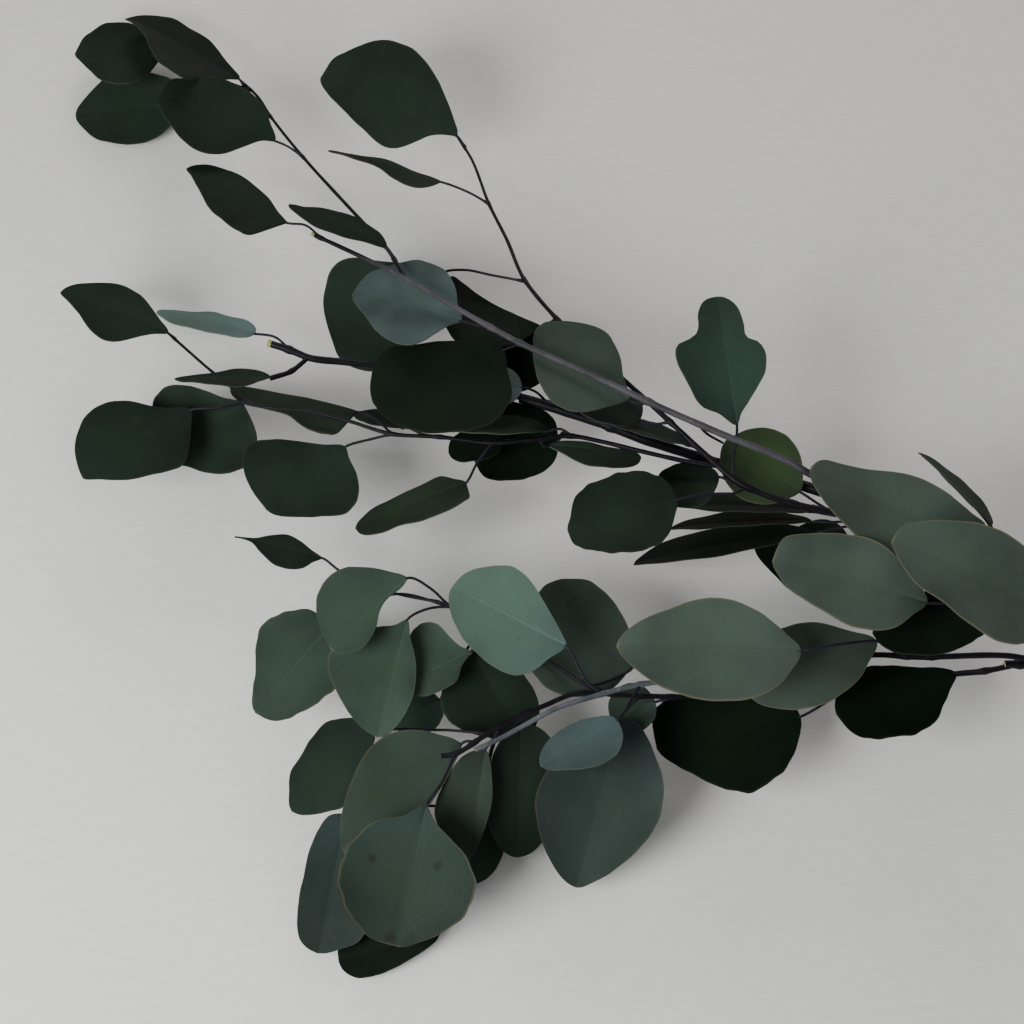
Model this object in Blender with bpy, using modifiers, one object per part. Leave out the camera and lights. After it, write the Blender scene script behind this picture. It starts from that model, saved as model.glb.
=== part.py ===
"""A cut eucalyptus branch, lying down: a forked woody stem and nine leafy stems on it.

Metres, +Z up. +X points to the cut end of the stem, and the leaves rest on z = 0.
Every point of the layout is a sighting: where it shows in a picture PICTURE_PX wide,
taken from EYE, and its height in millimetres above the surface that it lies on.
"""

import math
import random
from collections import namedtuple

import bmesh
import bpy
from mathutils import Vector

MM = 0.001
GAP = 0.3 * MM
BLADE_THICKNESS = 0.8 * MM
PETIOLE_RADIUS = 0.75 * MM
PETIOLE_IN_BLADE = 7.0 * MM
BLADE_STATIONS = 8
BLADE_STRIPS = 2

PICTURE_PX = 1024
FOCAL_PX = 2000
ELEVATION = math.radians(60)
EYE = Vector((-0.090, -0.590, 0.953))
RIGHT = Vector((1, 0, 0))
FORWARD = Vector((0, math.cos(ELEVATION), -math.sin(ELEVATION)))
UP = Vector((0, math.sin(ELEVATION), math.cos(ELEVATION)))

# How a blade's edge runs: fullness at the base and at the tip (1 is an ellipse, more is
# pointed), where it is widest (positive is towards the base), and how wavy it is.
FORMS = {
    "round": (1.0, 0.85, 0.05, 0.020),
    "egg": (1.0, 1.15, 0.12, 0.020),
    "fan": (1.3, 0.75, -0.12, 0.025),
    "lens": (1.25, 1.35, 0.0, 0.020),
    "scalloped": (1.0, 0.75, 0.05, 0.055),
}
LOBED = "29"

Stem = namedtuple("Stem", "radii_mm points")
Leaf = namedtuple("Leaf", "name petiole tip width roll form cup arch")


def leaf(name, petiole, tip, width, roll, form="round", cup=0.10, arch=0.03):
    """A leaf by its petiole's points, its tip, its width in mm and its roll in degrees."""
    return Leaf(name, petiole, tip, width, roll, form, cup, arch)


# The outlines of the leaves that show their shape: where each edge runs in the picture, from
# the stalk to the tip, first along one side and then along the other. The rest have a form.
OUTLINES = {
    "01": (
        [(228, 63), (218, 50), (205, 38), (190, 28), (175, 19), (160, 16), (140, 16)],
        [(225, 81), (200, 81), (183, 78), (170, 70), (157, 60), (150, 46), (138, 28)],
    ),
    "02": (
        [(160, 48), (148, 34), (134, 25), (118, 23), (105, 24), (92, 31), (82, 40)],
        [(157, 62), (150, 73), (135, 82), (118, 84), (103, 80), (90, 71), (81, 62)],
    ),
    "03": (
        [(186, 92), (175, 81), (152, 73), (130, 70), (112, 74), (95, 88), (82, 102)],
        [(184, 114), (172, 124), (158, 137), (140, 144), (115, 143), (95, 138), (82, 127)],
    ),
    "04": (
        [(272, 127), (261, 102), (245, 89), (225, 80), (205, 77), (185, 78), (168, 82)],
        [(262, 141), (240, 148), (220, 154), (200, 151), (183, 140), (170, 125), (161, 110)],
    ),
    "05": (
        [(279, 213), (268, 198), (255, 185), (240, 175), (220, 168), (198, 165)],
        [(280, 229), (268, 234), (250, 235), (230, 226), (210, 208), (199, 190), (191, 176)],
    ),
    "06": (
        [(385, 240), (377, 230), (362, 221), (345, 214), (320, 208), (302, 206)],
        [(378, 246), (362, 242), (340, 236), (318, 227), (303, 219), (294, 212)],
    ),
    "07": (
        [(455, 122), (449, 105), (440, 84), (428, 64), (412, 49), (392, 41), (370, 42), (345, 52),
         (329, 64)],
        [(447, 135), (430, 136), (415, 142), (396, 148), (380, 144), (362, 128), (343, 110), (327, 93)],
    ),
    "08": (
        [(425, 175), (405, 167), (385, 159), (365, 157), (345, 154)],
        [(432, 186), (420, 188), (405, 185), (392, 177), (380, 168), (350, 158)],
    ),
    "09": (
        [(425, 266), (400, 263), (375, 261), (350, 258), (335, 264), (327, 280), (323, 303), (327, 325),
         (333, 343)],
        [(440, 295), (430, 320), (415, 345), (395, 362), (372, 371), (355, 368)],
    ),
    "10": (
        [(458, 305), (456, 290), (448, 274), (435, 264), (418, 260), (400, 263), (383, 269), (366, 276)],
        [(450, 325), (437, 333), (423, 342), (407, 345), (392, 341), (378, 332), (366, 317), (357, 306)],
    ),
    "11": (
        [(528, 323), (512, 314), (495, 305), (480, 296), (465, 284), (450, 277)],
        [(530, 335), (510, 345), (485, 350), (460, 345), (445, 325)],
    ),
    "12": (
        [(495, 343), (470, 340), (440, 341), (410, 345), (388, 349), (376, 360), (371, 378)],
        [(507, 370), (512, 388), (508, 405), (495, 420), (475, 429), (450, 433), (420, 432), (393, 422)],
    ),
    "14": (
        [(624, 378), (620, 356), (610, 337), (595, 327), (575, 322), (556, 321)],
        [(612, 405), (590, 411), (568, 410), (551, 401), (540, 384), (534, 364), (533, 343)],
    ),
    "15": (
        [(262, 372), (245, 369), (225, 370), (205, 374), (188, 376)],
        [(260, 381), (248, 385), (228, 386), (205, 384), (186, 382)],
    ),
    "16": (
        [(254, 325), (245, 320), (230, 317), (210, 312), (185, 311), (168, 310)],
        [(248, 337), (230, 336), (205, 332), (185, 327), (168, 321), (160, 316)],
    ),
    "17": (
        [(162, 322), (152, 308), (140, 295), (125, 287), (105, 283), (85, 283), (70, 286)],
        [(156, 334), (140, 336), (115, 341), (100, 338), (88, 327), (77, 312), (67, 300)],
    ),
    "18": (
        [(170, 408), (150, 406), (125, 401), (105, 403), (88, 413), (78, 430), (75, 450), (78, 467)],
        [(191, 425), (190, 442), (183, 464), (165, 472), (140, 478), (115, 480), (97, 479)],
    ),
    "19": (
        [(225, 398), (205, 390), (185, 385), (165, 388), (154, 400), (152, 420), (156, 440)],
        [(250, 412), (256, 432), (254, 452), (243, 468), (225, 474), (205, 472), (185, 466)],
    ),
    "20": (
        [(345, 410), (322, 403), (300, 399), (275, 393), (250, 390)],
        [(352, 420), (343, 431), (325, 434), (305, 427), (288, 416), (265, 409), (245, 404)],
    ),
    "21": (
        [(325, 445), (300, 441), (272, 439), (252, 443), (243, 456), (244, 472), (250, 487), (257, 500)],
        [(349, 458), (356, 472), (359, 488), (355, 504), (342, 514), (318, 517), (292, 517)],
    ),
    "22": (
        [(455, 479), (440, 477), (419, 486), (396, 496), (377, 506), (364, 516)],
        [(468, 489), (470, 496), (462, 503), (447, 511), (425, 519), (403, 525), (382, 533),
         (365, 535)],
    ),
    "23b": (
        [(560, 428), (550, 415), (530, 405), (505, 402), (485, 412), (474, 430)],
        [(557, 455), (548, 468), (530, 477), (505, 481), (485, 477), (476, 465)],
    ),
    "25": (
        [(565, 441), (590, 443), (615, 448), (632, 451)],
        [(560, 452), (575, 460), (592, 466), (612, 468), (630, 467)],
    ),
    "26": (
        [(672, 488), (660, 477), (640, 471), (620, 472), (603, 479), (585, 487), (574, 500), (570, 518)],
        [(675, 515), (670, 532), (658, 545), (640, 551), (620, 553), (600, 551), (582, 548), (571, 540)],
    ),
    "27": (
        [(708, 466), (692, 462), (676, 465), (662, 471)],
        [(716, 488), (708, 502), (690, 508), (670, 503)],
    ),
    "28": (
        [(803, 480), (802, 462), (795, 444), (782, 433), (765, 428), (747, 430), (733, 436)],
        [(790, 498), (770, 504), (750, 502), (735, 494), (725, 480), (720, 463), (721, 450)],
    ),
    "29": (
        [(720, 414), (703, 407), (690, 388), (678, 364), (675, 351), (681, 342), (692, 338), (698, 329),
         (698, 314), (704, 301)],
        [(741, 414), (748, 403), (758, 386), (766, 370), (766, 354), (759, 342), (747, 337), (744, 325),
         (739, 310), (730, 300)],
    ),
    "33": (
        [(985, 530), (970, 512), (945, 492), (920, 477), (895, 472), (865, 469), (840, 464), (822, 460)],
        [(950, 570), (920, 568), (890, 558), (862, 540), (840, 520), (823, 500), (813, 484)],
    ),
    "34": (
        [(922, 588), (905, 566), (885, 547), (860, 536), (830, 533), (802, 534), (783, 539), (774, 549)],
        [(915, 613), (898, 626), (876, 630), (852, 627), (828, 614), (805, 600), (788, 588), (777, 573)],
    ),
    "35": (
        [(1056, 590), (1045, 567), (1024, 546), (1000, 531), (975, 522), (945, 520), (918, 522),
         (900, 528)],
        [(1045, 635), (1020, 644), (996, 641), (972, 625), (945, 603), (918, 585), (903, 567),
         (895, 552)],
    ),
    "37": (
        [(955, 595), (930, 590), (905, 600), (885, 615)],
        [(984, 628), (975, 640), (955, 650), (930, 655), (905, 654), (887, 649)],
    ),
    "38": (
        [(838, 524), (822, 519), (805, 524), (785, 533), (765, 537)],
        [(850, 560), (835, 580), (810, 592), (788, 588), (776, 576), (762, 562)],
    ),
    "39": (
        [(935, 668), (910, 667), (885, 665), (862, 668), (845, 680), (836, 697)],
        [(951, 688), (944, 705), (935, 722), (918, 733), (890, 738), (862, 737), (847, 728)],
    ),
    "40": (
        [(792, 639), (778, 626), (758, 611), (735, 601), (713, 598), (692, 601), (665, 610), (640, 621),
         (625, 632)],
        [(793, 668), (780, 684), (758, 697), (730, 701), (705, 700), (680, 694), (655, 683), (635, 669),
         (623, 657)],
    ),
    "41": (
        [(858, 633), (840, 628), (817, 622), (795, 624), (775, 632), (758, 650), (748, 675)],
        [(870, 660), (861, 677), (846, 691), (828, 702), (800, 709), (775, 708)],
    ),
    "42": (
        [(790, 702), (760, 698), (725, 697), (690, 698), (662, 702), (653, 715), (653, 732)],
        [(799, 738), (793, 757), (780, 774), (760, 788), (740, 793), (712, 784), (685, 770), (668, 760)],
    ),
    "43": (
        [(634, 645), (627, 625), (615, 603), (602, 589), (586, 580), (569, 579), (552, 582), (540, 590)],
        [(618, 684), (600, 694), (575, 696), (550, 690), (532, 672), (524, 648), (525, 625)],
    ),
    "44": (
        [(550, 658), (537, 669), (520, 675), (503, 672), (484, 659), (465, 641), (454, 622), (449, 604)],
        [(563, 636), (551, 614), (540, 595), (528, 578), (515, 568), (500, 565), (484, 567), (466, 573)],
    ),
    "45": (
        [(634, 714), (646, 735), (656, 757), (663, 780), (663, 803), (654, 830), (636, 852), (612, 872),
         (592, 883)],
        [(604, 722), (578, 738), (553, 762), (539, 785), (535, 805), (538, 828), (546, 852), (558, 873)],
    ),
    "46": (
        [(600, 716), (579, 721), (563, 729), (547, 742), (540, 755)],
        [(623, 735), (619, 751), (602, 764), (582, 769), (560, 770)],
    ),
    "47": (
        [(505, 735), (494, 752), (489, 775), (487, 800), (489, 825), (498, 845)],
        [(540, 728), (556, 748), (560, 775), (556, 805), (548, 832), (535, 850)],
    ),
    "48": (
        [(441, 735), (420, 730), (398, 731), (381, 738), (367, 752), (355, 773), (346, 797), (340, 822),
         (340, 840)],
        [(455, 762), (443, 785), (428, 806), (405, 830), (378, 850), (358, 858)],
    ),
    "49": (
        [(405, 815), (379, 820), (362, 830), (347, 849), (339, 868), (340, 890), (348, 911), (362, 930),
         (377, 941)],
        [(434, 820), (450, 838), (463, 852), (472, 868), (475, 888), (470, 907), (457, 923), (440, 934),
         (420, 942)],
    ),
    "50": (
        [(330, 815), (318, 830), (309, 851), (304, 874), (299, 897), (297, 920), (300, 940)],
        [(356, 830), (366, 855), (372, 885), (372, 915), (358, 942), (338, 950)],
    ),
    "51": (
        [(425, 925), (400, 920), (372, 925), (350, 938), (338, 950)],
        [(433, 944), (414, 957), (394, 968), (374, 976), (358, 978), (345, 972)],
    ),
    "52": (
        [(362, 722), (345, 718), (325, 723), (312, 738), (300, 757), (290, 773), (289, 793)],
        [(372, 748), (362, 770), (352, 790), (345, 806), (325, 812), (308, 815)],
    ),
    "53": (
        [(313, 611), (290, 611), (270, 618), (258, 632), (256, 652), (255, 675), (252, 697)],
        [(336, 640), (338, 660), (336, 685), (322, 700), (300, 713), (275, 721)],
    ),
    "54": (
        [(392, 572), (366, 567), (346, 568), (330, 576), (319, 590), (316, 606), (318, 622), (325, 638)],
        [(400, 589), (388, 598), (380, 610), (376, 626), (370, 639), (360, 650)],
    ),
    "55": (
        [(395, 625), (376, 627), (352, 640), (332, 650), (327, 664), (332, 682), (345, 707), (360, 726)],
        [(410, 636), (415, 656), (416, 676), (413, 697), (404, 716), (393, 730)],
    ),
    "56": (
        [(460, 646), (449, 636), (439, 625), (427, 622), (416, 627), (408, 640), (404, 662)],
        [(462, 665), (457, 681), (442, 690), (425, 696), (414, 694)],
    ),
    "57": (
        [(458, 664), (446, 680), (441, 697), (445, 715), (462, 730), (490, 738)],
        [(490, 652), (510, 662), (528, 680), (538, 700), (538, 720)],
    ),
    "58": (
        [(470, 752), (456, 763), (444, 783), (436, 802), (435, 817), (444, 834), (457, 848)],
        [(490, 760), (492, 780), (492, 800), (487, 822), (479, 843)],
    ),
    "60": (
        [(313, 551), (300, 541), (287, 535), (271, 535), (255, 538)],
        [(313, 562), (303, 568), (290, 569), (274, 564), (261, 553), (251, 542)],
    ),
}

# The woody fork that everything grows from: radii at root and tip in mm, then the points.
WOOD = {
    "trunk": Stem((4.2, 3.6), [(1385, 707, 3.6), (1330, 692, 3.7), (1270, 674, 8.5), (1215, 660, 16)]),
    "upper_arm": Stem(
        (3.4, 2.5),
        [(1225, 663, 16), (1120, 610, 30), (1020, 568, 42), (930, 533, 49), (860, 505, 49),
         (804, 486, 47), (760, 474, 45), (718, 463, 46), (683, 452, 49), (648, 441, 52),
         (606, 425, 54), (550, 407, 57), (520, 398, 58)],
    ),
    "lower_arm": Stem((3.0, 2.0), [(1220, 662, 16), (1120, 665, 24), (1060, 665, 30), (1005, 664, 35)]),
}

# Each leafy stem: the wood that it leaves, its own twigs and its leaves.
LEAFY = {
    "stem_a": {
        "twigs": [
            Stem((2.1, 1.2), [(978, 551, 46), (940, 534, 58), (870, 502, 73), (810, 474, 82), (790, 462, 84),
                              (724, 435, 89), (662, 408, 90), (592, 375, 88), (520, 343, 84),
                              (460, 310, 79), (405, 278, 74), (347, 250, 69), (312, 234, 66)]),
            Stem((1.2, 0.8), [(405, 278, 74), (388, 250, 68), (356, 215, 60), (303, 157, 48),
                              (271, 117, 40), (258, 97, 37), (240, 80, 34)]),
            Stem((0.8, 0.6), [(698, 424, 90), (706, 433, 86), (723, 443, 80)]),
        ],
        "leaves": [
            leaf("01", [(244, 86, 35), (239, 79, 34)], (126, 19, 30), 52, -34, "lens"),
            leaf("02", [(250, 90, 36), (205, 74, 27), (163, 60, 21)], (76, 52, 18), 56, -12),
            leaf("03", [(271, 117, 40), (225, 110, 24), (190, 104, 11)], (76, 115, 0), 54, 14),
            leaf("04", [(303, 157, 48), (287, 146, 49), (275, 141, 51)], (159, 95, 58), 56, -2),
            leaf("05", [(320, 237, 67), (305, 225, 64), (287, 223, 62)], (188, 168, 50), 50, -20, "lens"),
            leaf("06", [(394, 260, 70), (390, 253, 71), (386, 248, 72)], (289, 205, 76), 48, -20, "egg"),
            leaf("10", [(491, 328, 81), (478, 326, 76), (461, 321, 71)], (354, 292, 59), 60, -2, "fan"),
            leaf("12", [(520, 343, 84), (514, 346, 76), (504, 350, 68)], (373, 402, 60),
                 66, -3, "round", 0.05),
            leaf("14", [(648, 402, 90), (640, 404, 86), (628, 400, 82)], (541, 325, 76), 54, 0, "fan"),
        ],
    },
    "stem_b": {
        "twigs": [
            Stem((1.8, 0.8), [(905, 523, 49), (870, 517, 56), (833, 512, 59), (780, 500, 61),
                              (738, 482, 64), (707, 456, 66), (666, 418, 68), (624, 380, 68),
                              (558, 320, 66), (524, 279, 63), (507, 240, 59), (489, 204, 56),
                              (472, 160, 52), (457, 136, 50)]),
        ],
        "leaves": [
            leaf("07", [(465, 147, 51), (457, 136, 50)], (322, 76, 44), 64, 12, "egg", 0.14),
            leaf("08", [(489, 204, 56), (470, 193, 60), (441, 182, 62)], (328, 151, 60), 40, -30, "lens"),
            leaf("09", [(523, 281, 63), (491, 275, 60), (465, 270, 52), (442, 273, 44)], (342, 361, 30),
                 62, 0),
            leaf("11", [(562, 323, 66), (552, 325, 61), (541, 327, 56.5)], (438, 290, 49), 46, -10, "egg"),
            leaf("13", [(556, 319, 66), (546, 325, 58), (536, 334, 54)], (508, 392, 46), 34, 0, "egg"),
            leaf("14b", [(670, 422, 68), (655, 424, 66), (640, 420, 64)], (576, 400, 62), 40, -28, "egg"),
            leaf("29", [(734, 479, 64), (733, 460, 68), (736, 442, 71), (737, 425, 74)], (717, 297, 92),
                 52, 0, "egg"),
            leaf("26", [(748, 487, 63), (731, 494, 69), (700, 495, 73), (677, 500, 74)], (568, 531, 66),
                 52, 4, "scalloped"),
            leaf("27", [(742, 484, 64), (729, 481, 62), (719, 477, 60)], (656, 486, 54), 38, -14),
            leaf("14c", [(712, 460, 66), (702, 452, 63), (690, 446, 60)], (610, 424, 58), 30, -43, "lens"),
        ],
    },
    "stem_c": {
        "twigs": [
            Stem((2.0, 1.9), [(610, 427, 54), (585, 417, 51), (540, 402, 50), (460, 382, 52),
                              (400, 368, 56), (345, 362, 60), (310, 358, 63), (290, 350, 65),
                              (268, 343, 66)]),
            Stem((1.3, 1.2), [(308, 358, 63), (290, 372, 67), (270, 379, 69)]),
        ],
        "leaves": [
            leaf("15", [(292, 371, 67), (270, 377, 70)], (175, 379, 70), 36, -35, "lens"),
            leaf("16", [(289, 349, 65), (275, 337, 62), (255, 334, 58)], (158, 311, 54), 40, -30, "lens"),
            leaf("pale", [(548, 404, 50), (536, 392, 58), (522, 388, 61)], (468, 392, 58), 32, -14),
        ],
    },
    "stem_e": {
        "twigs": [
            Stem((1.3, 0.8), [(719, 466, 65), (700, 464, 64), (675, 459, 63), (640, 451, 62),
                              (599, 441, 61), (571, 436, 61), (530, 440, 61), (492, 443, 60),
                              (440, 437, 59), (392, 434, 58), (345, 420, 56), (300, 410, 54),
                              (248, 403, 51), (231, 387, 49), (210, 370, 47), (168, 333, 44)]),
        ],
        "leaves": [
            leaf("17", [(175, 339, 44), (168, 333, 44)], (61, 292, 38), 46, -14, "lens"),
            leaf("18", [(246, 402, 51), (215, 408, 52), (191, 410, 50)], (83, 478, 40), 56, -4),
            leaf("19", [(248, 403, 51), (246, 403, 48), (243, 404, 45)], (165, 458, 30),
                 58, -2, "round", 0.2),
            leaf("20", [(392, 434, 58), (374, 418, 48), (357, 412, 40)], (232, 387, 30), 42, -20, "lens"),
            leaf("21", [(392, 434, 58), (372, 439, 57), (345, 447, 56)], (267, 510, 47), 54, 0, "round"),
            leaf("22", [(492, 443, 60), (477, 463, 57), (466, 483, 54)], (356, 529, 44),
                 48, -14, "lens", 0.25),
            leaf("23a", [(530, 440, 61), (515, 440, 52), (503, 441, 47)], (449, 453, 44), 28, -18),
            leaf("23b", [(571, 436, 61), (562, 433, 48), (558, 441, 39)], (472, 448, 34), 48, 4),
            leaf("24", [(571, 436, 61), (561, 429, 61), (548, 431, 60)], (447, 431, 56), 38, -43, "lens"),
            leaf("25", [(540, 439, 61), (543, 446, 56), (549, 446, 52)], (641, 458, 46), 34, 22, "lens"),
            leaf("sliver", [(440, 437, 59), (422, 434, 46), (404, 428, 36)], (354, 414, 32),
                 26, -38, "lens"),
        ],
    },
    "stem_m": {
        "twigs": [
            Stem((1.6, 1.1), [(950, 540, 48), (905, 533, 43), (870, 525, 42), (835, 513, 43),
                              (812, 506, 48)]),
        ],
        "leaves": [
            leaf("28", [(835, 513, 43), (820, 505, 50), (800, 492, 53)], (725, 442, 55), 45, 4, "round"),
            leaf("30", [(850, 518, 43), (830, 515, 41), (812, 512, 40)], (676, 507, 34), 38, -44, "lens"),
            leaf("31", [(858, 521, 42), (832, 522, 40), (812, 522, 37)], (670, 530, 28), 34, -47, "lens"),
            leaf("32", [(866, 524, 42), (838, 528, 39), (812, 534, 35)], (634, 565, 20), 42, -42, "lens"),
            leaf("38", [(885, 529, 42), (866, 540, 26), (850, 545, 17)], (754, 545, 12), 42, 0, "round"),
        ],
    },
    "stem_r": {
        "twigs": [
            Stem((2.0, 1.4), [(1075, 590, 36), (1045, 596, 55), (1020, 588, 68), (990, 560, 76)]),
        ],
        "leaves": [
            leaf("33", [(990, 560, 76), (982, 560, 80), (974, 553, 83)], (811, 468, 92), 54, -4, "egg"),
            leaf("34", [(1010, 578, 71), (965, 600, 88), (927, 603, 93)], (773, 560, 86), 52, 6, "egg"),
            leaf("35", [(1030, 592, 62), (1056, 612, 86), (1048, 612, 97)], (892, 541, 103), 62, 2, "egg"),
            leaf("36", [(1000, 568, 73), (996, 545, 68), (991, 526, 66)], (918, 453, 66), 36, -52, "lens"),
            leaf("37", [(1045, 596, 55), (1005, 606, 70), (975, 610, 77)], (873, 634, 77), 46, 0),
        ],
    },
    "stem_l": {
        "twigs": [
            Stem((1.6, 1.2), [(1052, 665, 31), (1010, 656, 41), (920, 657, 46), (872, 655, 48),
                              (800, 668, 50), (740, 676, 55), (686, 680, 62), (643, 684, 64),
                              (602, 694, 66), (555, 709, 67), (525, 725, 66), (499, 739, 65),
                              (475, 750, 64)]),
        ],
        "leaves": [
            leaf("40", [(932, 657, 45), (885, 641, 70), (842, 644, 80), (801, 651, 82)], (617, 646, 78),
                 56, 6, "egg"),
            leaf("41", [(906, 657, 47), (890, 649, 55), (876, 641, 60)], (752, 698, 60), 50, 2, "egg"),
            leaf("44", [(602, 694, 66), (587, 682, 70), (566, 646, 77)], (452, 588, 74), 57, 6, "fan"),
            leaf("46", [(640, 685, 64), (628, 705, 66), (617, 720, 64)], (541, 766, 58), 36, -10, "egg"),
        ],
    },
    "stem_k": {
        "twigs": [
            Stem((1.5, 1.2), [(1020, 664, 34), (985, 671, 32), (955, 674, 33), (872, 680, 35),
                              (780, 690, 42), (686, 697, 51), (624, 695, 56), (574, 694, 58),
                              (546, 705, 58), (518, 717, 58), (487, 734, 57), (455, 754, 56),
                              (441, 756, 56)]),
            Stem((1.0, 0.8), [(503, 725, 57), (492, 748, 44), (486, 778, 28), (476, 812, 20),
                              (456, 860, 12)]),
        ],
        "leaves": [
            leaf("39", [(985, 671, 32), (970, 671, 37), (955, 673, 40)], (837, 715, 44),
                 46, -8, "scalloped", 0.05),
            leaf("42", [(860, 681, 36), (830, 700, 33), (800, 717, 31)],
                 (657, 748, 28), 68, 0, "scalloped"),
            leaf("45", [(640, 696, 55), (630, 706, 54), (621, 716, 52)], (576, 887, 12), 64, 6, "egg"),
            leaf("47", [(530, 712, 58), (515, 724, 52), (520, 723, 48)], (517, 857, 14), 38, 14, "egg"),
            leaf("48", [(474, 743, 57), (467, 741, 53), (461, 744, 49)], (345, 853, 34), 56, 0, "egg"),
            leaf("49", [(455, 754, 56), (441, 784, 58), (426, 806, 57)],
                 (397, 946, 22), 68, 0, "scalloped"),
            leaf("50", [(478, 808, 21), (420, 806, 25), (346, 814, 27)], (318, 953, 6), 46, 8, "egg"),
            leaf("51", [(457, 856, 12), (448, 900, 10), (439, 934, 7)], (339, 961, 0), 38, 0, "egg"),
            leaf("52", [(487, 734, 57), (460, 731, 48), (438, 730, 37), (374, 734, 32)], (292, 811, 22),
                 46, 0, "egg"),
            leaf("58", [(500, 726, 57), (494, 738, 55), (485, 750, 52)], (469, 858, 26), 36, 0, "egg"),
            leaf("59", [(486, 778, 28), (480, 798, 16), (471, 812, 11)], (474, 884, 3), 32, 0, "egg"),
            leaf("61", [(672, 697, 53), (664, 700, 50), (655, 702, 48)], (610, 716, 45), 26, 0),
        ],
    },
    "stem_f": {
        "twigs": [
            Stem((1.1, 0.9), [(606, 692, 65), (585, 684, 61), (555, 665, 59), (500, 634, 59),
                              (449, 606, 60), (430, 600, 60)]),
        ],
        "leaves": [
            leaf("43", [(590, 687, 62), (615, 678, 54), (633, 665, 50)], (531, 604, 54), 54, 0, "round"),
            leaf("53", [(449, 606, 60), (397, 594, 52), (350, 610, 47), (332, 624, 45)],
                 (256, 713, 34), 54, 4, "scalloped"),
            leaf("54", [(449, 606, 60), (430, 588, 68), (407, 578, 74)], (332, 650, 68), 54, 0, "egg"),
            leaf("55", [(449, 606, 60), (427, 609, 62), (407, 620, 62)], (378, 737, 44), 50, 0, "egg"),
            leaf("56", [(485, 626, 59), (478, 642, 57), (470, 652, 55)], (407, 684, 48), 36, 0),
            leaf("57", [(500, 634, 59), (486, 647, 52), (472, 654, 46)], (525, 738, 30), 54, 0),
            leaf("60", [(438, 602, 60), (394, 593, 57), (340, 571, 56), (322, 558, 55)], (235, 537, 52),
                 28, -8, "lens"),
            leaf("bit", [(485, 626, 59), (473, 640, 46), (456, 668, 32), (440, 700, 25)],
                 (395, 727, 22), 26, 0),
        ],
    },
}
PARENT_TWIG = {"stem_e": ("stem_b", 0), "stem_f": ("stem_l", 0)}

MATERIALS = {
    "bark": ((0.060, 0.042, 0.045, 1), 0.6),
    "leaf": ((0.045, 0.085, 0.055, 1), 0.5),
}


def place(sighting):
    """The point seen at a picture position, at a height in mm above the table."""
    px, py, height = sighting
    ray = FORWARD * FOCAL_PX + RIGHT * (px - PICTURE_PX / 2) - UP * (py - PICTURE_PX / 2)
    return EYE + ray * ((EYE.z - height * MM) / -ray.z)


def tube(name, route, radii, collection, bevel_resolution):
    """A closed round tube along a route, thinning from one radius to the other."""
    curve = bpy.data.curves.new(name, "CURVE")
    curve.dimensions = "3D"
    curve.bevel_depth = radii[0]
    curve.bevel_resolution = bevel_resolution
    curve.use_fill_caps = True
    spline = curve.splines.new("POLY")
    spline.points.add(len(route) - 1)
    for index, (point, place_on) in enumerate(zip(spline.points, route)):
        point.co = (*place_on, 1)
        point.radius = 1 + (radii[1] / radii[0] - 1) * index / (len(route) - 1)
    guide = bpy.data.objects.new(name, curve)
    collection.objects.link(guide)
    depsgraph = bpy.context.evaluated_depsgraph_get()
    mesh = bpy.data.meshes.new_from_object(guide.evaluated_get(depsgraph))
    bpy.data.objects.remove(guide)
    bm = bmesh.new()
    bm.from_mesh(mesh)
    bmesh.ops.remove_doubles(bm, verts=bm.verts, dist=1e-5)
    bm.to_mesh(mesh)
    bm.free()
    solid = bpy.data.objects.new(name, mesh)
    collection.objects.link(solid)
    return solid


def stem_tube(name, stem, collection, bevel_resolution=1, extra=0.0):
    """A stem's tube, made fatter and longer by extra where it serves as a cutter."""
    radii = [radius * MM + extra for radius in stem.radii_mm]
    route = [place(point) for point in stem.points]
    route[0] += (route[0] - route[1]).normalized() * extra
    route[-1] += (route[-1] - route[-2]).normalized() * extra
    return tube(name, route, radii, collection, bevel_resolution)


def blade_frame(blade):
    """Base, length and the three directions of a blade: along, across and out of its face."""
    base, tip = place(blade.petiole[-1]), place(blade.tip)
    along = (tip - base).normalized()
    level = along.cross(Vector((0, 0, 1))).normalized()
    out = level.cross(along)
    roll = math.radians(blade.roll)
    across = level * math.cos(roll) + out * math.sin(roll)
    return base, (tip - base).length, along, across, across.cross(along)


def sighted_edge(blade, edge):
    """A sighted edge on the bent blade: its points' turns and offsets from the middle line."""
    base, length, along, across, out = blade_frame(blade)
    spots = []
    for px, py in edge:
        ray = place((px, py, 0)) - EYE
        rise = 0.0
        for _ in range(4):
            reach = ((base - EYE).dot(out) + rise) / ray.dot(out)
            point = EYE + ray * reach - base
            share = min(max(point.dot(along) / length, 0.002), 0.998)
            offset = point.dot(across)
            bow = 2 * math.sqrt(share * (1 - share))
            rise = abs(offset) * blade.cup + length * blade.arch * bow
        spots.append((math.acos(1 - 2 * share), offset))
    return spots


def sighted_widths(blade):
    """The half widths along each side of a blade, from its two sighted edges."""
    edges = [sighted_edge(blade, edge) for edge in OUTLINES[blade.name]]
    edges.sort(key=lambda spots: sum(offset for _, offset in spots) / len(spots))
    widths = {}
    for side, spots in zip((-1, 1), edges):
        line = [(turn, max(offset * side, 0.5 * MM)) for turn, offset in spots]
        widths[side] = sorted([(0.0, 0.0), *line, (math.pi, 0.0)])
    return widths


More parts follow.
